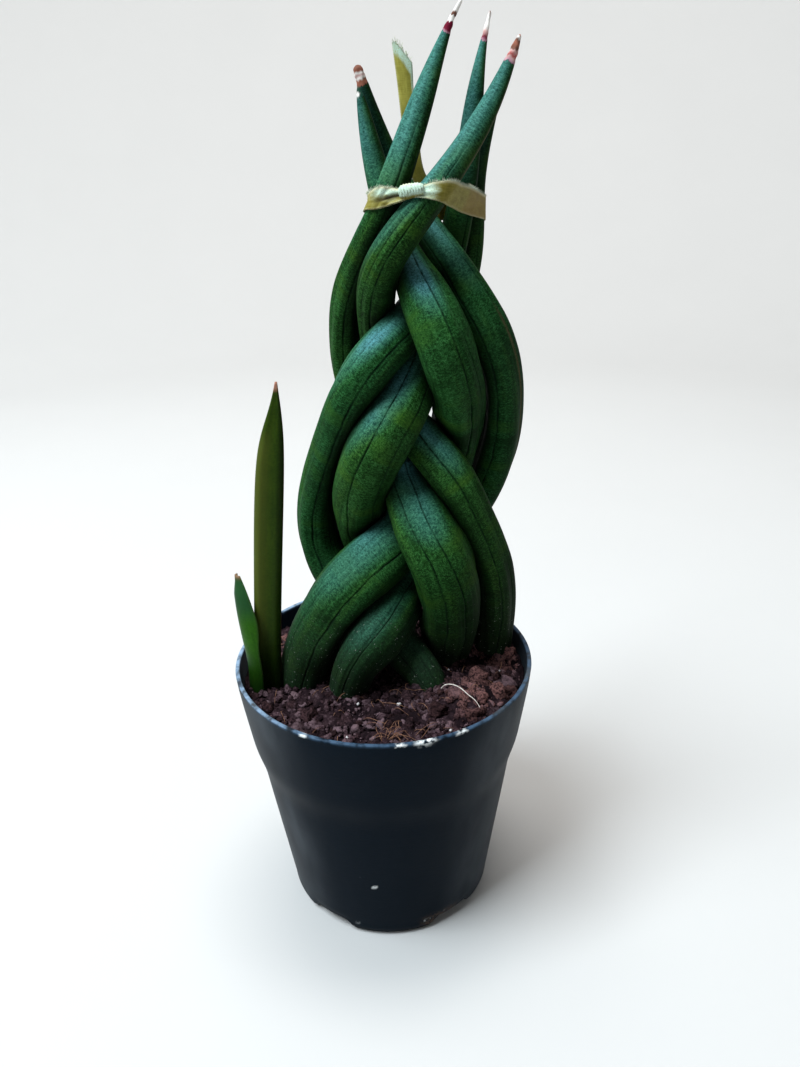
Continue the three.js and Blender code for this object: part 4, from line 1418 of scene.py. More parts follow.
def pot_finish():
    finish, tree = new_finish("nursery_plastic")
    where = place_in_space(tree)
    smear = grain(tree, stretched(tree, where, (1, 1, 0.5)), FILM_SIZE, detail=5)
    scratch = grain(tree, stretched(tree, where, (1, 1, 7)), SCRATCH_SIZE, detail=4, rough=0.7)
    speck = grain(tree, where, WATER_SPECK_SIZE, detail=3, rough=0.7)
    # dust and a painted sheen in two broad stripes at the sides
    film = patches(tree, smear, 0.20, 0.90, measure(tree, "dusty_and_sheen"))
    dots = patches(tree, speck, 0.74, 0.80, 0.35)
    marks = patches(tree, scratch, 0.68, 0.80, 0.03)
    dust = maths(tree, "ADD", film, maths(tree, "ADD", dots, marks), clamp=True)
    colour = blend(tree, dust, POT_BLACK, POT_DUST_AND_SHEEN)
    rim = measure(tree, "rim")
    paler = patches(tree, grain(tree, where, RIM_WEAR_SIZE, detail=4), 0.30, 0.60, rim)
    colour = blend(tree, paler, colour, ramp(tree, rim, [(0.45, RIM_DULL), (1.0, RIM_PALE)]))
    chipped = grain(tree, where, SCUFF_GRAIN_SIZE, detail=3)
    colour = blend(tree, patches(tree, chipped, 0.40, 0.56, measure(tree, "scuff")), colour, SCUFF_WHITE)
    stain = patches(tree, speck, 0.40, 0.60, measure(tree, "stain"))
    colour = blend(tree, maths(tree, "MULTIPLY", stain, 0.7), colour, STAIN_BROWN)
    roughness = maths(tree, "ADD", maths(tree, "MULTIPLY", smear, 0.25), 0.32)
    relief = bump(tree, grain(tree, where, PLASTIC_GRAIN_SIZE), 0.02, bump(tree, scratch, 0.04))
    cover(tree, Base_Color=colour, Roughness=roughness, Normal=relief, Specular_IOR_Level=0.03)
    return finish


nursery_plastic = pot_finish()
print("pot finish:", len(nursery_plastic.node_tree.nodes), "nodes")

# %% [markdown]
# The pot's collar is wider than its body, so that pots stack and can be carried by the rim. The shape is
# a profile turned round an axis: the foot, up the outside, over the round rim and down the inside.
# Moulded corners are never sharp, so the list of radii is softened on its way.

# %% Profile of the pot
RIM_ROUNDING = 0.5
FOOT_RADIUS = 35.2
FOOT_WALL = 2.2
FOOT_ROUNDING = 0.4
FOOT_SLOPE_TOP = 1.4
FOOT_CUT = 2.8
WALL_STARTS_AT = 2.5
WALL_STEPS = 76
FLOOR_UNDERSIDE = 4.2
FLOOR_THICKNESS = 1.4
FLOOR_MIDDLE = 0.3
POT_SOFTENING = 2.6


def soft_outside(z):
    """The outside radius with its corners softened, as a moulded wall has them."""
    around = np.linspace(-POT_SOFTENING, POT_SOFTENING, 9)
    near = [pot_radius_at(np.clip(z + shift, WALL_STARTS_AT, POT_HEIGHT)) for shift in around]
    return np.mean(near, axis=0)


def arc_points(centre, radius, start_deg, stop_deg, count=5):
    angle = np.radians(np.linspace(start_deg, stop_deg, count))
    return [(centre[0] + radius * math.cos(a), centre[1] + radius * math.sin(a)) for a in angle]


def pot_profile():
    """The pot's section as (radius, z), from the middle of its underside round to its inside floor."""
    floor_top = FLOOR_UNDERSIDE + FLOOR_THICKNESS
    rim, corner, top = RIM_ROUNDING, FOOT_ROUNDING, POT_HEIGHT
    rim_radius = POT_OUTSIDE[0][0]
    foot_inside = FOOT_RADIUS - FOOT_WALL
    heights = np.linspace(WALL_STARTS_AT, top - 1.2, WALL_STEPS)
    outside = list(zip(soft_outside(heights), heights))
    inside = [(radius - POT_WALL, z) for radius, z in outside[::-2] if z > floor_top + 1]
    return [
        (FLOOR_MIDDLE, FLOOR_UNDERSIDE),
        (foot_inside, FLOOR_UNDERSIDE),
        (foot_inside, FOOT_CUT),
        (foot_inside, FOOT_SLOPE_TOP),
        *arc_points((foot_inside + corner, corner), corner, 180, 270, 4),
        *arc_points((FOOT_RADIUS - corner, corner), corner, 270, 360, 4),
        (FOOT_RADIUS + 0.6, FOOT_SLOPE_TOP),
        *outside,
        *arc_points((rim_radius - rim, top - rim), rim, 0, 90),
        *arc_points((rim_radius - POT_WALL + rim, top - rim), rim, 90, 180),
        *inside,
        (float(pot_radius_at(floor_top)) - POT_WALL - 0.5, floor_top),
        (FLOOR_MIDDLE, floor_top),
    ]


print("points in the pot's profile:", len(pot_profile()))

# %% [markdown]
# Real pots are never quite round, so the profile swells and dips by a few tenths of a millimetre on its
# way round. The notches in the foot could be cut out, but lifting the lowest points of the wall there
# keeps the mesh even.

# %% Rings and notches
NOTCH_COUNT = 5
NOTCH_START_DEG = -53
NOTCH_WIDTH = 17
NOTCH_HEIGHT = 3.4
NOTCH_SLANT = 2.6
NOTCH_FADES_AT = 7
OUT_OF_ROUND = 0.3


def notch_angles():
    return [math.radians(NOTCH_START_DEG + 360 * i / NOTCH_COUNT) for i in range(NOTCH_COUNT)]


def notch_height(angle):
    """How high the foot is cut away at each angle."""
    height = np.zeros_like(angle)
    for middle in notch_angles():
        off = np.abs(off_direction(angle, middle)) * FOOT_RADIUS
        slope = (NOTCH_WIDTH / 2 - off) / NOTCH_SLANT
        height = np.maximum(height, NOTCH_HEIGHT * np.clip(slope, 0, 1))
    return height


def pot_ring(radius, angle, z):
    """One ring of the pot, lifted at the notches and a little out of round."""
    is_low = z < NOTCH_FADES_AT and radius > FOOT_RADIUS - FOOT_WALL - 0.1
    share = 1 - z / NOTCH_FADES_AT if is_low and z != FLOOR_UNDERSIDE else 0
    place = ring_at(radius, angle, z + share * notch_height(angle))
    broad = np.c_[place[:, :2] / 30, np.full_like(angle, z / 60)]
    swell = OUT_OF_ROUND * (0.5 - lumps(broad, 1, 4)) / max(radius, 20) * (radius > 30)
    place[:, :2] *= (1 - swell)[:, None]
    return place


print("deepest notch", notch_height(full_turn(72)).max(), "mm")

# %% [markdown]
# The marks of use have their places: the rim is palest at the back left, dust with a painted sheen lies
# in two broad stripes at the sides, chips and scuffs are where the photograph shows them, and earthy
# water has stained the foot at the right. Each mark is a small rule of angle and height.

# %% Marks on the pot
SCUFFS = [
    # angle round the pot in degrees, height, and half size along and up the wall
    (-75.5, 91.5, 3.6, 0.8), (-84, 91.6, 1.6, 0.5), (-62, 91.6, 2.0, 0.5), (-118, 91.6, 1.4, 0.4),
    (-97, 26, 0.8, 0.8), (-108, 5.2, 1.3, 0.35), (-70, 4.6, 1.6, 0.35), (-60, 5.0, 0.6, 0.5),
]
# the sides that carry dust and a painted sheen, and how strong they are
DUST_AND_SHEEN_SIDES_DEG = (-160, -22)
DUST_AND_SHEEN_STRENGTH = 0.45
RIM_WORN_SIDE_DEG = 150
RIM_LEAST_WEAR = 0.45
STAIN_SIDE_DEG = -62
STAIN_HEIGHTS = (4, 9)


def side_share(angle, side_deg, low, high):
    """1 on one side of the pot, fading out round it."""
    return soft_step(np.cos(angle - math.radians(side_deg)), low, high)


def rim_wear(angle, z):
    wear = RIM_LEAST_WEAR + (1 - RIM_LEAST_WEAR) * side_share(angle, RIM_WORN_SIDE_DEG, -0.4, 0.6)
    return wear * soft_step(z, POT_HEIGHT - 0.75, POT_HEIGHT - 0.2)


def stain_share(angle, z):
    return side_share(angle, STAIN_SIDE_DEG, 0.97, 1.0) * (1 - soft_step(z, *STAIN_HEIGHTS))


# dust and a painted sheen at the two sides of the pot
def dust_and_sheen_share(angle, z):
    return DUST_AND_SHEEN_STRENGTH * sum(side_share(angle, side, 0.72, 1.0) for side in DUST_AND_SHEEN_SIDES_DEG)


def scuff_share(angle, z):
    """How scuffed the wall is at a height, round the pot."""
    share = np.zeros_like(angle)
    for at, height, half_along, half_up in SCUFFS:
        along = off_direction(angle, math.radians(at)) * float(pot_radius_at(height)) / half_along
        share = np.maximum(share, 1 - soft_step(np.hypot(along, (z - height) / half_up), 0.6, 1.2))
    return share


POT_MARKS = {"rim": rim_wear, "stain": stain_share, "scuff": scuff_share, "dusty_and_sheen": dust_and_sheen_share}
print("marks on the pot:", ", ".join(POT_MARKS))

# %% [markdown]
# The holes in the floor cross the rings, so they are cut with a boolean. The cut is applied for good and
# the plugs are thrown away.

# %% Make the pot
POT_AROUND = 288
DRAIN_HOLE_RADIUS = 3.6
DRAIN_HOLE_FROM_AXIS = 26


def drain_holes():
    """Plugs where the holes in the floor are to be, as one object."""
    cutter = bmesh.new()
    for angle in notch_angles():
        place = Vector((math.cos(angle), math.sin(angle), 0)) * DRAIN_HOLE_FROM_AXIS
        place.z = FLOOR_UNDERSIDE + FLOOR_THICKNESS / 2
        bmesh.ops.create_cone(cutter, cap_ends=True, segments=32, radius1=DRAIN_HOLE_RADIUS * MM,
                              radius2=DRAIN_HOLE_RADIUS * MM, depth=4 * FLOOR_THICKNESS * MM,
                              matrix=Matrix.Translation(place * MM))
    mesh = bpy.data.meshes.new("drain_holes")
    cutter.to_mesh(mesh)
    cutter.free()
    holes = bpy.data.objects.new("drain_holes", mesh)
    scene.collection.objects.link(holes)
    return holes


def cut_away(piece, cutter):
    """Cuts the cutter's shape out of the piece for good, and removes the cutter."""
    cut = piece.modifiers.new("cut", "BOOLEAN")
    cut.operation = "DIFFERENCE"
    cut.solver = "EXACT"
    cut.object = cutter
    made = bpy.data.meshes.new_from_object(piece.evaluated_get(bpy.context.evaluated_depsgraph_get()))
    piece.modifiers.clear()
    piece.data = made
    bpy.data.objects.remove(cutter)


def make_pot():
    angle = full_turn(POT_AROUND)
    profile = pot_profile()
    rings = np.array([pot_ring(radius, angle, z) for radius, z in profile])
    pot = skin_piece("nursery_pot", rings, nursery_plastic)
    for mark, share in POT_MARKS.items():
        carry(pot, mark, [share(angle, z) for _, z in profile])
    cut_away(pot, drain_holes())
    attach(pot, "root")
    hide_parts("pot")
    return pot


print("pot", len(make_pot().data.polygons), "faces")

# %% [markdown]
# ## The pup
# The young offshoot has flat leaves, as every snake plant has before its grown leaves turn round. Its
# finish is the leaves' own in short: veins and flecks between two greens, dark bands, another tone laid
# on where the mesh says (a painted highlight on the tall leaf's left side, a bluish top on the short
# leaf), a margin, a dry point, and painted shade near the soil and on the tall leaf's right side. Young
# skin is a little clear, so light enters it.

# %% Finish of the pup
PUP_DRY = (0.26, 0.12, 0.08)
PUP_SHADE = (0.002, 0.008, 0.001)
VEIN_SIZE = 0.8
PUP_FLECK_SIZE = 0.9
PUP_BAND_SIZE = 9


def pup_finish(name, deep, pale, upper, margin):
    finish, tree = new_finish(name)
    veins = grain(tree, place_on(tree, "straight", (1, 1, 0.08)), VEIN_SIZE, detail=3)
    fleck = grain(tree, place_on(tree, "straight", (1, 1, 1.5)), PUP_FLECK_SIZE, detail=4, rough=0.65)
    bands = grain(tree, place_on(tree, "straight", (0.25, 0.25, 1)), PUP_BAND_SIZE, detail=2)
    tone = weighted(tree, (veins, 0.35), (fleck, 0.65))
    colour = ramp(tree, tone, [(0.32, deep), (0.68, pale)])
    colour = blend(tree, patches(tree, bands, 0.42, 0.6, 0.35), colour, deep)
    # painted highlight on the tall leaf's left side, and a bluish top on the short leaf
    colour = blend(tree, measure(tree, "bloom_and_highlight"), colour, upper)
    colour = blend(tree, patches(tree, bands, 0.25, 0.5, measure(tree, "edge")), colour, margin)
    colour = blend(tree, measure(tree, "dry"), colour, PUP_DRY)
    # painted shade near the soil, and on the tall leaf's right side
    colour = blend(tree, measure(tree, "shade"), colour, PUP_SHADE)
    relief = bump(tree, tone, 0.08)
    cover(tree, Base_Color=colour, Roughness=0.42, Normal=relief, Specular_IOR_Level=0.06,
          Subsurface_Weight=0.08, Subsurface_Scale=0.001)
    return finish


pup_tall_skin = pup_finish("skin_of_pup_tall", (0.009, 0.022, 0.001), (0.024, 0.046, 0.002),
                           (0.068, 0.080, 0.012), (0.120, 0.045, 0.020))
pup_short_skin = pup_finish("skin_of_pup_short", (0.010, 0.048, 0.002), (0.026, 0.098, 0.005),
                            (0.010, 0.042, 0.014), (0.035, 0.080, 0.018))
print("pup finishes:", pup_tall_skin.name, "and", pup_short_skin.name)

# %% [markdown]
# The tall leaf is a thick strap that narrows to a dry point, with a shallow channel in front and a thin
# reddish margin at its right edge. It stands nearly upright, so its sections can stay level: each is an
# oval with the channel taken out of its front half.

# %% Tall leaf of the pup
PUP_TALL = [
    # x, y, z, width
    (-38.2, -7, 73, 7.6), (-39.4, -7, 83, 9.4), (-37.9, -7, 102, 8.7), (-35.4, -7, 128.8, 9),
    (-32.9, -7, 153, 9.1), (-31.0, -7, 169, 8.2), (-29.0, -7, 178.5, 4.0), (-28.2, -7, 184.5, 1.6),
    (-27.9, -7, 187.5, 0.7),
]
PUP_TALL_SIDES = 44
PUP_TALL_THICKNESS_SHARE = 0.6
PUP_TALL_FRONT_SHARE = 0.8
PUP_CHANNEL = 0.35
PUP_CHANNEL_HALF_SHARE = 0.62
PUP_WAVE, PUP_WAVE_LENGTH = 0.25, 17
# where the painted highlight lies on the tall leaf's left side and how strong it is, then the painted shade
# on its right side and foot
PUP_TALL_PALE_FROM = (88, 108)
PUP_TALL_PALE_TO = (168, 176)
PUP_TALL_PALENESS = 0.60
PUP_TALL_SIDE_SHADE = 0.5
PUP_TALL_SHADE_TO = (84, 108)
PUP_TALL_DRY_FROM = (184.2, 186)
PUP_LOW_SHADE = 0.9


def make_pup_tall():
    walk = walk_along(PUP_TALL, 0.8)
    turn = full_turn(PUP_TALL_SIDES)
    cos, sin = np.cos(turn), np.sin(turn)
    half = walk.size[:, None] / 2
    front = sin < 0
    channel = PUP_CHANNEL * np.where(front, np.clip(1 - (cos / PUP_CHANNEL_HALF_SHARE) ** 2, 0, 1), 0)
    depth = half * PUP_TALL_THICKNESS_SHARE * np.where(front, PUP_TALL_FRONT_SHARE, 1) * (1 - channel)
    level = 0 * half * cos
    wave = PUP_WAVE * np.sin(walk.distance / PUP_WAVE_LENGTH)[:, None]
    across, forward = half * cos, depth * sin
    points = walk.centre[:, None] + np.stack([across, forward, level], -1)
    points[..., 1] += wave
    skin = skin_piece("skin_of_pup_tall", points, pup_tall_skin)
    carry(skin, "straight", np.stack([across, forward, walk.distance[:, None] + level], -1))
    carry(skin, "edge", soft_step(cos, 0.955, 0.99) + level)
    height = points[..., 2]
    # painted highlight: the tall leaf's left side is paler between these heights
    pale = soft_step(height, *PUP_TALL_PALE_FROM) * (1 - soft_step(height, *PUP_TALL_PALE_TO))
    carry(skin, "bloom_and_highlight", PUP_TALL_PALENESS * soft_step(-cos, -0.3, 0.7) * pale)
    # painted shade on the right side of the tall leaf and near the soil
    right_side = PUP_TALL_SIDE_SHADE * soft_step(cos, 0.1, 0.9)
    low = PUP_LOW_SHADE * (1 - soft_step(height, *PUP_TALL_SHADE_TO))
    carry(skin, "shade", 1 - (1 - low) * (1 - right_side))
    carry(skin, "dry", soft_step(height, *PUP_TALL_DRY_FROM))
    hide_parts("pup_tall")
    return skin


pup_tall = make_pup_tall()
print("the tall leaf of the pup ends at", PUP_TALL[-1][2], "mm")

# %% [markdown]
# The short leaf is a small boat: a thin hollow shell, open towards the right, whose foot clasps the tall
# leaf. Its top leans out to the left. Each section is an arc with an outer and an inner side, thick in
# the middle and thin at both edges. A solid oval with a groove would look too heavy from above.

# %% Short leaf of the pup
PUP_SHORT = [
    # x, y, z and inner radius of the hollow side
    (-38.6, -6.9, 76, 4.9), (-39.1, -6.9, 84, 5.2), (-38.6, -6.7, 93, 4.9), (-39.7, -6.2, 103, 5.1),
    (-41.5, -5.6, 113, 4.4), (-43.3, -5.2, 120.5, 2.8), (-45.0, -5.0, 125.5, 0.9),
]
PUP_SHORT_THICKNESS = 1.3
PUP_SHORT_TIP_SHARE = 0.55
PUP_SHORT_EDGE_SHARE = 0.4
PUP_SHORT_FACING_DEG = 200
PUP_SHORT_SPREAD_DEG = 63
PUP_SHORT_FRONT_DEG = 22
PUP_SHORT_OPENS_AT = (98, 112)
PUP_SHORT_STEPS = 26


def make_pup_short():
    walk = walk_along(PUP_SHORT, 0.6)
    way = np.linspace(-1, 1, PUP_SHORT_STEPS)
    wider = PUP_SHORT_FRONT_DEG * soft_step(walk.centre[:, 2:], *PUP_SHORT_OPENS_AT) * (way > 0)
    angle = math.radians(PUP_SHORT_FACING_DEG) + np.radians(PUP_SHORT_SPREAD_DEG + wider) * way
    value = walk.size[:, None]
    thickness = PUP_SHORT_THICKNESS * np.clip(value / 3, PUP_SHORT_TIP_SHARE, 1)
    thinned = thickness * PUP_SHORT_EDGE_SHARE * way ** 2
    reach = np.hstack([value + thickness - thinned, (value + thinned)[:, ::-1]])
    facing = np.hstack([angle, angle[:, ::-1]])
    side = np.concatenate([way, way[::-1]])
    across, forward, level = reach * np.cos(facing), reach * np.sin(facing), 0 * reach
    points = walk.centre[:, None] + np.stack([across, forward, level], -1)
    skin = skin_piece("skin_of_pup_short", points, pup_short_skin)
    height = points[..., 2]
    carry(skin, "straight", np.stack([across, forward, walk.distance[:, None] + level], -1))
    carry(skin, "edge", soft_step(np.abs(side), 0.9, 1.0) + level)
    # a bluish tone on the top of the short leaf
    carry(skin, "bloom_and_highlight", 0.9 * soft_step(height, 109, 117))
    carry(skin, "dry", 0.5 * soft_step(height, 124, 125.5))
    # painted shade near the soil
    carry(skin, "shade", PUP_LOW_SHADE * (1 - soft_step(height, 86, 106)))
    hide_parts("pup_short")
    return skin


for pup_leaf in (pup_tall, make_pup_short()):
    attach(pup_leaf, "root")
    print(pup_leaf.name, len(pup_leaf.data.polygons), "faces")

# %% [markdown]
# ## The ribbon
# A narrow satin ribbon, olive gold, goes once round all six leaves. It is pulled tight, so it touches
# only the leaves that stand out and runs straight between them, as a rubber band round a bunch of
# pencils does. The distance of such a band from the middle is worked out from the leaves themselves:
# for many directions, how far out does the outermost leaf reach? It is under ten millimetres wide, so it
# is built directly, with the small teeth of its cut edges, and not simulated as cloth.

# %% Where a tight band lies
TIE_CENTRE = (16, -1)
TIE_HEIGHT = 234.1
TIE_FALL_TO_BACK = 0.156
TIE_DIRECTIONS = 72
TIE_LEAST_FACING = 0.2
TIE_NEAR = 25


def tie_reach_table(angles, heights):
    """How far a tight band lies from the tie's centre, for each height and angle."""
    walks = [walk_along(guides, 0.6) for guides in LEAVES.values()]
    balls = np.vstack([np.c_[walk.centre, walk.size / 2] for walk in walks])
    balls = balls[np.abs(balls[:, 2] - TIE_HEIGHT) < TIE_NEAR]
    normals = full_turn(TIE_DIRECTIONS)
    outward = ((balls[:, 0] - TIE_CENTRE[0])[:, None] * np.cos(normals)
               + (balls[:, 1] - TIE_CENTRE[1])[:, None] * np.sin(normals))
    facing = np.cos(angles[:, None] - normals)
    table = []
    for z in heights:
        cut = balls[:, 3] ** 2 - (z - balls[:, 2]) ** 2
        support = (outward[cut > 0] + np.sqrt(cut[cut > 0])[:, None]).max(axis=0)
        reach = np.where(facing > TIE_LEAST_FACING, support / np.maximum(facing, TIE_LEAST_FACING), np.inf)
        table.append(reach.min(axis=1))
    return np.array(table)


tie_reach = tie_reach_table(full_turn(36), [TIE_HEIGHT])[0]
print("a band would lie", round(tie_reach.min(), 1), "to", round(tie_reach.max(), 1), "mm from the middle")

# %% [markdown]
# The satin is pale mint near the knot and along its upper edge: a painted highlight, where light falls on
# the nap, with some wear. It is frayed to cream at its edges, which holds a painted highlight along the
# upper edge too, it is rusty behind, and painted shade makes it nearly black deep in its creases. The
# mesh says where, and the threads are noise stretched along and across the cloth. A little sheen gives
# the velvety look from the side.

# %% Finish of the ribbon
# colour of the painted shade in the creases
CREASE_SHADE_COLOUR = (0.020, 0.014, 0.004)
MINT = (0.40, 0.54, 0.45)
CREAM = (0.40, 0.38, 0.25)
RUSTY_GOLD = (0.165, 0.088, 0.016)
THREAD_SIZES = (0.16, 0.20)
PILE_SIZE = 0.30
WEAR_SIZE = 2.6


def ribbon_finish(name, deep, gold):
    finish, tree = new_finish(name)
    lengthwise = grain(tree, place_on(tree, "cloth", (0.05, 1, 1)), THREAD_SIZES[0], detail=2)
    crosswise = grain(tree, place_on(tree, "cloth", (1, 0.05, 1)), THREAD_SIZES[1], detail=2)
    cloud = grain(tree, place_on(tree, "cloth", (0.6, 1.6, 1)), WEAR_SIZE, detail=4, rough=0.65)
    pile = grain(tree, place_on(tree, "cloth"), PILE_SIZE, detail=3, rough=0.7)
    weave = weighted(tree, (lengthwise, 0.5), (crosswise, 0.5))
    tone = weighted(tree, (weave, 0.5), (cloud, 0.5))
    colour = ramp(tree, tone, [(0.34, deep), (0.66, gold)])
    colour = blend(tree, measure(tree, "rusty"), colour, RUSTY_GOLD)
    uneven = maths(tree, "SUBTRACT", cloud, 0.5)
    # pale mint: a painted highlight where light falls on the nap, with some wear
    paler = between(tree, maths(tree, "ADD", measure(tree, "pale"), uneven), 0.15, 0.95)
    colour = blend(tree, patches(tree, pile, 0.26, 0.54, paler), colour, MINT)
    # cream: fraying, with a painted highlight along the upper edge
    colour = blend(tree, patches(tree, pile, 0.30, 0.52, measure(tree, "fray_and_highlight")), colour, CREAM)
    # painted shade in the creases
    colour = blend(tree, measure(tree, "crease_shade"), colour, CREASE_SHADE_COLOUR)
    relief = bump(tree, pile, 0.05, bump(tree, weave, 0.03))
    cover(tree, Base_Color=colour, Roughness=0.6, Normal=relief, Specular_IOR_Level=0.08,
          Sheen_Weight=0.03, Sheen_Roughness=0.4, Sheen_Tint=(0.95, 1.0, 0.80))
    return finish


gold_satin = ribbon_finish("gold_satin", (0.085, 0.070, 0.008), (0.225, 0.195, 0.040))
mustard_satin = ribbon_finish("mustard_satin", (0.150, 0.130, 0.016), (0.330, 0.300, 0.060))
print("ribbon finishes:", gold_satin.name, "and", mustard_satin.name)

# %% [markdown]
# The band falls a little towards the back, so the distance has to be looked up at the height where the
# cloth really is, and that height depends on the distance. A few rounds of looking up settle it.

# %% Places on the tie
BAND_AROUND = 520
KNOT_ANGLE_DEG = -104
TIE_ROUGH_RADIUS = 18
TIE_ROUNDS = 3
TIE_HALF_HEIGHT = 14
TIE_ROW = 0.5


def band_places():
    """For each step round the band from the knot: angle, and distance at any height above the middle line."""
    angles = math.radians(KNOT_ANGLE_DEG) + full_turn(BAND_AROUND)
    heights = np.arange(TIE_HEIGHT - TIE_HALF_HEIGHT, TIE_HEIGHT + TIE_HALF_HEIGHT, TIE_ROW)
    table = tie_reach_table(angles, heights)
    column = np.arange(BAND_AROUND)

    def place(up, proud):
        reach = np.full(BAND_AROUND, float(TIE_ROUGH_RADIUS))
        for _ in range(TIE_ROUNDS):
            z = TIE_HEIGHT - TIE_FALL_TO_BACK * reach * np.sin(angles) + up
            rows = np.clip((z - heights[0]) / TIE_ROW, 0, len(heights) - 1.001)
            low, part = rows.astype(int), rows % 1
            reach = table[low, column] * (1 - part) + table[low + 1, column] * part
        x, y = (reach + proud) * np.cos(angles), (reach + proud) * np.sin(angles)
        z = TIE_HEIGHT - TIE_FALL_TO_BACK * y + up
        return np.stack([TIE_CENTRE[0] + x, TIE_CENTRE[1] + y, z], -1)

    return place


place_on_tie = band_places()
middle_line = place_on_tie(np.zeros(BAND_AROUND), 0)
tie_length = np.linalg.norm(np.diff(middle_line, axis=0, append=middle_line[:1]), axis=-1).sum()
print("the tie is", round(tie_length), "mm round")

# %% [markdown]
# To the right of the knot the band starts with a few small pleats and soon lies flat. To its left it is
# crumpled into two strands with a crease between them, darkened with painted shade. Its width changes
# too, so the two edges are a list, and the folds are waves that fade out.

# %% Folds of the band
BAND_LEVELS = 17
BAND_EDGES = [
    # degrees round from the knot, and how far its lower and its upper edge lie from the tie's middle line
    (0, -1.5, 1.2), (8, -1.8, 1.2), (16, -2.3, 1.9), (28, -3.0, 2.3), (48, -3.1, 2.1), (80, -3.4, 2.6),
    (120, -3.4, 2.9), (170, -3.0, 3.0), (240, -2.9, 2.9), (290, -3.0, 2.0), (320, -3.2, 1.4),
    (328, -3.5, 1.7), (336, -3.4, 1.6), (344, -2.9, 1.1), (352, -2.4, 0.5), (360, -1.5, 1.2),
]
PLEAT_DEPTH, PLEATS = 0.35, 7
PLEATS_FADE_AT = (6, 26)
STRANDS_FADE_AT = (16, 40)
CREASE_SHADE_FADES_AT = (22, 42)
CREASE_HALF_WIDTH = 0.20


def band_shape():
    """For each step round the band from the knot, rightwards, and each level across it: where it lies above
    the tie's middle line, how far its folds stand out and how much painted shade lies in its creases."""
    step = 360 * np.arange(BAND_AROUND) / BAND_AROUND
    marks, lower, upper = np.array(BAND_EDGES, float).T
    low = np.interp(step, marks, lower)[:, None]
    high = np.interp(step, marks, upper)[:, None]
    level = np.linspace(-1, 1, BAND_LEVELS)[None]
    up = low + (high - low) * (level + 1) / 2
    right = step[:, None]
    left = (360 - step)[:, None]
    pleats = 0.5 + 0.5 * np.cos(level * PLEATS + 0.8)
    right_pleats = PLEAT_DEPTH * (1 - soft_step(right, *PLEATS_FADE_AT)) * pleats
    valley = 0.10 - 0.35 * soft_step(left, 4, 30)
    gap = np.exp(-((level - valley) / CREASE_HALF_WIDTH) ** 2)
    crumple = 0.5 + 0.5 * np.sin(left / 2.3 + 4 * level + 1.5 * np.sin(left / 4.1))
    strands = (1 - gap) * (0.50 + 0.55 * crumple)
    left_pleats = (1 - soft_step(left, *STRANDS_FADE_AT)) * strands
    folds = right_pleats * (right < 180) + left_pleats * (right >= 180)
    # painted shade in the crease between the strands and in the hollows of the crumples
    shaded_hollows = np.maximum(gap, 0.55 * (1 - crumple) ** 2)
    crease_shade = shaded_hollows * (right >= 180) * (1 - soft_step(left, *CREASE_SHADE_FADES_AT))
    return up, level, folds, crease_shade


print("the band's folds stand out by up to", band_shape()[2].max().round(2), "mm")

# %% [markdown]
# The band is a thin closed strip: an inner and an outer face, joined at the edges and at its own start.
# Its edges have teeth as fine as threads. Paleness, a painted highlight with some wear, is strongest near
# the knot and along the upper edge.

# %% Band
BAND_THICKNESS = 0.30
BAND_CLEARANCE = 0.12
SERRATION = 0.08
# width of the frayed upper edge that also carries a painted highlight
FRAYED_AND_LIT_EDGE = 0.75
FRAYED_LOWER_EDGE = 0.40
FRAY_SPACING = 0.09
RUSTINESS = 0.45


def both_faces(values):
    """Values of the outer face, level by level, joined to the same for the inner face behind it."""
    return np.concatenate([values, values[:, ::-1]], axis=1)


def band_paleness(step, level):
    """How pale the band is, a painted highlight with some wear, from the knot outwards: more to the right,
    and more along its upper edge.
    """
    near_right = 1 - soft_step(step, 8, 30)
    near_left = 0.75 - 0.5 * soft_step(360 - step, 26, 44)
    upper_right = 1 - 0.4 * soft_step(-level, -0.2, 0.6)
    upper_left = 0.35 + 0.65 * soft_step(level, -0.3, 0.5)
    return np.where(step < 180, near_right * upper_right, near_left * upper_left)


def band_fraying(up, round_length):
    """How frayed the band is: along its upper edge all over, where a painted highlight lies too, and in dots
    along its lower edge.
    """
    dots = 0.5 + 0.5 * np.sin(round_length / FRAY_SPACING)[:, None]
    top = 1 - soft_step(up[:, -1:] - up, 0.12, FRAYED_AND_LIT_EDGE)
    bottom = 1 - soft_step(up - up[:, :1], 0.1, FRAYED_LOWER_EDGE)
    return np.maximum(top, 0.8 * dots * bottom)


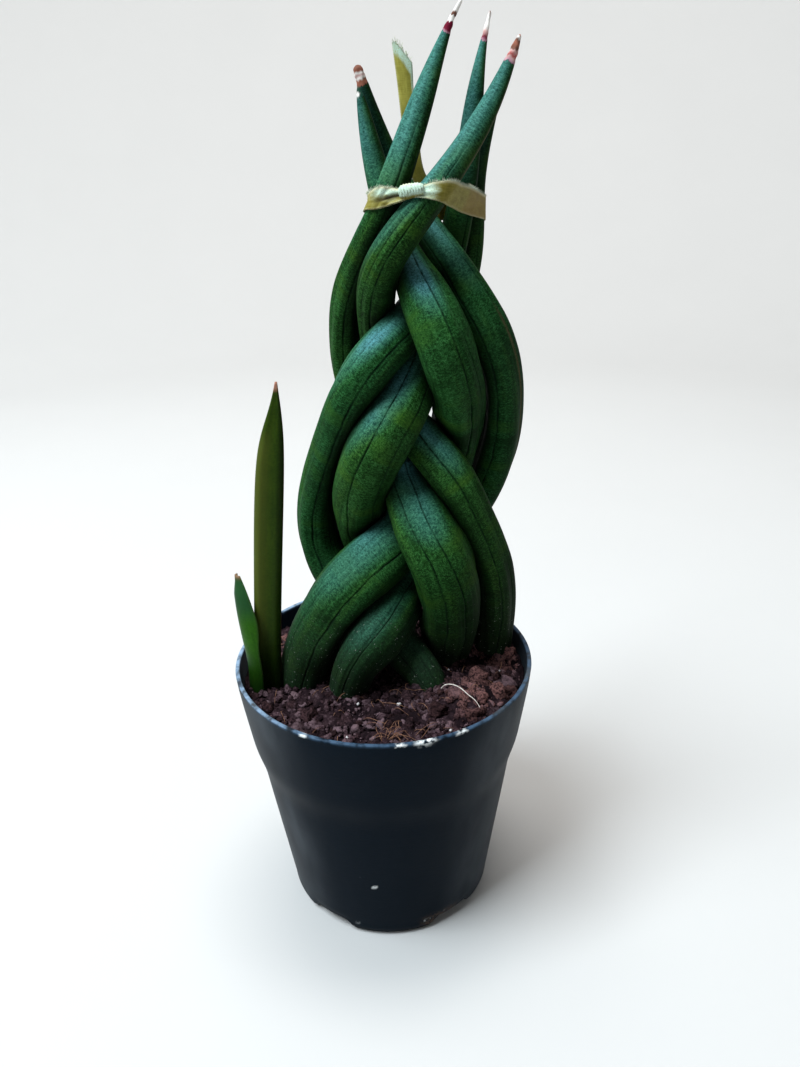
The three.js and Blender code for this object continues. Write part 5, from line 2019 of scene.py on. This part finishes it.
def make_band():
    up, level, folds, crease_shade = band_shape()
    step = 360 * np.arange(BAND_AROUND)[:, None] / BAND_AROUND
    teeth = np.where(np.arange(BAND_AROUND) % 2, 1, -1)[:, None] * (np.abs(level) == 1)
    up = up + SERRATION * teeth
    inner = np.stack([place_on_tie(row, BAND_CLEARANCE) for row in up.T], 1)
    proud = BAND_CLEARANCE + BAND_THICKNESS + folds
    outer = np.stack([place_on_tie(row, out) for row, out in zip(up.T, proud.T)], 1)
    rings = np.concatenate([inner, outer[:, ::-1]], axis=1)
    faces = ring_faces(BAND_AROUND, 2 * BAND_LEVELS, joined=True)
    band = mesh_piece("ribbon_band", rings.reshape(-1, 3), faces, gold_satin)
    middle = outer[:, BAND_LEVELS // 2]
    round_length = np.cumsum(np.linalg.norm(np.diff(middle, axis=0, append=middle[:1]), axis=-1))
    across = both_faces(up)
    carry(band, "cloth", np.stack([round_length[:, None] + 0 * across, across, 0 * across], -1))
    carry(band, "pale", both_faces(band_paleness(step, level)))
    rusty = RUSTINESS * soft_step(step, 74, 100) * (1 - soft_step(step, 200, 240))
    carry(band, "rusty", both_faces(rusty + 0 * level))
    carry(band, "fray_and_highlight", both_faces(band_fraying(up, round_length)))
    carry(band, "crease_shade", both_faces(crease_shade))
    return band, outer[:, -1]


ribbon_band, band_edge = make_band()
print("band from", round(band_edge[:, 2].min()), "to", round(band_edge[:, 2].max()), "mm above the floor")

# %% [markdown]
# The knot is the ribbon drawn once through itself: a short tight bundle with the folds of the cloth
# running up and down over it, and a row of little painted shadows between them. It sits a little askew.
# Its upper part carries a pale painted highlight with some wear, and its lower third shows the gold of
# the cloth. At this size only the bundle and its folds are seen, so the knot is a lumpy barrel with
# waves on it, and not a real overhand knot.

# %% Knot
KNOT_HALF_SIZES = (3.2, 1.5, 1.80)
KNOT_FOLDS = 9
KNOT_FOLD_DEPTH = 0.10
KNOT_STAND_OFF = 0.9
KNOT_TURN_DEG = 9
KNOT_TAPER = 0.14
KNOT_WOBBLE = 0.07
KNOT_END_DEG = 88
KNOT_RINGS = 61
KNOT_AROUND = 96
KNOT_CREASE_SHADE = 0.65


def knot_axes():
    """The knot's three directions: along the band but a little askew, outwards and upwards."""
    angle, askew = math.radians(KNOT_ANGLE_DEG), math.radians(KNOT_TURN_DEG)
    outward = np.array([math.cos(angle), math.sin(angle), 0])
    level_way = np.array([-math.sin(angle), math.cos(angle), 0])
    sideways = level_way * math.cos(askew) + np.array([0, 0, math.sin(askew)])
    return sideways, outward, np.cross(sideways, -outward)


def make_knot():
    stand_off = BAND_CLEARANCE + BAND_THICKNESS + KNOT_STAND_OFF
    middle = place_on_tie(np.zeros(BAND_AROUND), stand_off)[0]
    sideways, outward, upward = knot_axes()
    half_length, half_depth, half_height = KNOT_HALF_SIZES
    turn = full_turn(KNOT_AROUND)
    rings = []
    for t in np.radians(np.linspace(-KNOT_END_DEG, KNOT_END_DEG, KNOT_RINGS)):
        width = math.copysign(abs(math.sin(t)) ** 0.8, math.sin(t))
        round_size = math.cos(t) ** 0.42 * (1 - KNOT_TAPER * width)
        folds = 1 - KNOT_FOLD_DEPTH * (0.5 + 0.5 * math.cos(KNOT_FOLDS * math.pi * width))
        wobble = 1 + KNOT_WOBBLE * lumps(ring_at(2, turn, width * 3), 1, 8)
        size = round_size * folds * wobble
        rings.append(middle + sideways * width * half_length
                     + np.outer(size * np.cos(turn), outward) * half_depth
                     + np.outer(size * np.sin(turn), upward) * half_height)
    knot = skin_piece("ribbon_knot", np.array(rings), gold_satin)
    knot.data.flip_normals()
    flat = (np.array(rings) - middle).reshape(-1, 3)
    above, beside = flat @ upward, flat @ sideways
    carry(knot, "cloth", np.c_[above * 1.5, beside, flat @ outward])
    # the upper part of the knot is paler: a painted highlight with some wear
    carry(knot, "pale", 0.25 + 0.60 * soft_step(above, -1.5, -0.6))
    # painted shadows between the folds of the knot
    fold_shadows = (0.5 + 0.5 * np.cos(beside * 9)) * np.exp(-((above + 0.1) / 0.55) ** 2)
    carry(knot, "crease_shade", KNOT_CREASE_SHADE * soft_step(fold_shadows, 0.45, 0.9))
    # the top of the knot: fraying and a painted highlight
    carry(knot, "fray_and_highlight", soft_step(above, 1.2, 1.9))
    return knot


ribbon_knot = make_knot()
print("knot", 2 * KNOT_HALF_SIZES[0], "mm long")

# %% [markdown]
# One end of the ribbon was tucked through the hollow middle of the bundle. It comes off the band at the
# back, runs forwards between the leaves and stands up flat behind the leaf at the front, cut on a slant.
# It is a walk again, but its section is a flat strip that keeps facing the front, cupped and rippled
# where it stands free.

# %% Tail
TAIL = [
    # x, y, z, width
    (21.0, 17.4, 232.4, 3.8), (20.4, 14.4, 233.2, 3.8), (18.8, 9.4, 235.4, 3.6), (15.6, 5.0, 237.4, 3.6),
    (13.0, 2.6, 241.6, 3.8), (12.2, 0.8, 248.0, 4.0), (11.2, -0.2, 256.0, 4.0), (10.5, -0.4, 263.6, 4.0),
    (9.6, 0.0, 272.7, 4.6),
]
TAIL_THICKNESS = 0.35
TAIL_LEVELS = 13
TAIL_TEETH_SHARE = 0.6
TAIL_FREE_FROM = (0.35, 0.6)
TAIL_CUP = 0.30
TAIL_RIPPLE, TAIL_RIPPLE_LENGTH = 0.22, 3.1
TAIL_SLANT = 6.4
TAIL_SLANT_FROM = (0.72, 1.0)
TAIL_CORNER = 1.2
TAIL_CORNER_FROM = -0.45


def tail_sink(walk, level):
    """How far each point is drawn back from the end, which is cut on a slant with one corner torn."""
    torn = TAIL_CORNER * np.clip(TAIL_CORNER_FROM - level, 0, 1) ** 2 * 4
    cut = TAIL_SLANT * (0.5 + 0.5 * level) + torn
    return cut, soft_step(walk.share, *TAIL_SLANT_FROM)[:, None] * cut[None]


def make_tail():
    walk = walk_along(TAIL, 0.3)
    depth = unit(np.array([0, 1.0, 0]) - walk.along[:, 1:2] * walk.along)
    width = np.cross(depth, walk.along)
    level = np.linspace(-1, 1, TAIL_LEVELS)
    half = walk.size[:, None] / 2
    teeth = np.where(np.arange(len(half)) % 2, SERRATION, -SERRATION)[:, None] * (np.abs(level) == 1)
    across = half * level + TAIL_TEETH_SHARE * teeth
    free = soft_step(walk.share, *TAIL_FREE_FROM)[:, None]
    cup = TAIL_CUP * (level ** 2)[None] * free
    ripple = TAIL_RIPPLE * np.sin(walk.distance / TAIL_RIPPLE_LENGTH)[:, None] * free
    cut, sink = tail_sink(walk, level)
    middle = walk.centre[:, None] - walk.along[:, None] * sink[..., None]

    def face(offset):
        return (middle + width[:, None] * across[..., None]
                + depth[:, None] * (cup + ripple + offset)[..., None])

    front, back = face(-TAIL_THICKNESS / 2), face(TAIL_THICKNESS / 2)
    rings = np.concatenate([front, back[:, ::-1]], axis=1)
    tail = skin_piece("ribbon_tail", rings, mustard_satin)
    along = walk.distance[:, None] - sink
    carry(tail, "cloth", both_faces(np.stack([along, across, 0 * across], -1)))
    from_cut = (walk.distance[-1] - walk.distance)[:, None] * (1 - cut / 12)[None]
    end = 0.85 - 0.85 * soft_step(from_cut, 1.4, 4.0)
    right_edge = (1 - soft_step(half * (1 - level), 0.3, 1.0)) * (1 - soft_step(from_cut, 5, 11))
    carry(tail, "pale", both_faces(np.maximum(end, 0.7 * right_edge)))
    near_edge = 1 - soft_step(half * (1 - np.abs(level)), 0.1, 0.4)
    carry(tail, "fray_and_highlight", both_faces(0.5 * near_edge))
    return tail, front[-1], walk.along[-1]


ribbon_tail, tail_edge, tail_way = make_tail()
print("tail up to", round(tail_edge[:, 2].max(), 1), "mm")

# %% [markdown]
# Loose threads stand out of the cut end, and short hairs along the upper edge of the band, where its
# pile is rubbed. They are thin tubes, all in one mesh, because Blender's own hair is not a mesh.

# %% Loose threads and hairs
THREAD_COUNT = 44
THREAD_SEED = 3
THREAD_LENGTHS = (0.4, 1.4)
THREAD_THICKNESS = 0.12
THREAD_ROOT = 0.3
THREAD_LEAN = 0.35
HAIR_COUNT = 2600
HAIR_LENGTHS = (0.15, 0.60)
HAIR_THICKNESS = 0.045
HAIR_ROOT = 0.15
HAIR_OUTWARD = (-0.2, 0.8)


def thread(draw, start, way, length, thickness):
    lean = draw.normal(0, THREAD_LEAN, 3)
    guides = [[*(start + (way + lean * i / 3) * length * i / 3), thickness] for i in range(4)]
    return thin_tube(guides, length / 4, 4)


def make_threads(cut_edge, way, band_edge):
    draw = np.random.default_rng(THREAD_SEED)
    parts = []
    for _ in range(THREAD_COUNT):
        place = draw.random() * (len(cut_edge) - 1.001)
        near = int(place)
        start = cut_edge[near] + (cut_edge[near + 1] - cut_edge[near]) * (place - near)
        length = draw.uniform(*THREAD_LENGTHS)
        parts.append(thread(draw, start - way * THREAD_ROOT, way, length, THREAD_THICKNESS))
    for _ in range(HAIR_COUNT):
        start = band_edge[draw.integers(len(band_edge))]
        outward = unit(start - np.array([*TIE_CENTRE, start[2]]))
        hair_way = unit(np.array([0, 0, 1.0]) + outward * draw.uniform(*HAIR_OUTWARD))
        length = draw.uniform(*HAIR_LENGTHS)
        parts.append(thread(draw, start - hair_way * HAIR_ROOT, hair_way, length, HAIR_THICKNESS))
    finish = plain_finish("loose_thread", (0.30, 0.32, 0.22), (0.52, 0.56, 0.45), 0.4)
    return joined_piece("ribbon_threads", parts, finish)


ribbon_threads = make_threads(tail_edge, tail_way, band_edge)
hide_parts("ribbon")
for cloth_piece in (ribbon_band, ribbon_knot, ribbon_tail, ribbon_threads):
    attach(cloth_piece, "root")
    print(cloth_piece.name, len(cloth_piece.data.polygons), "faces")
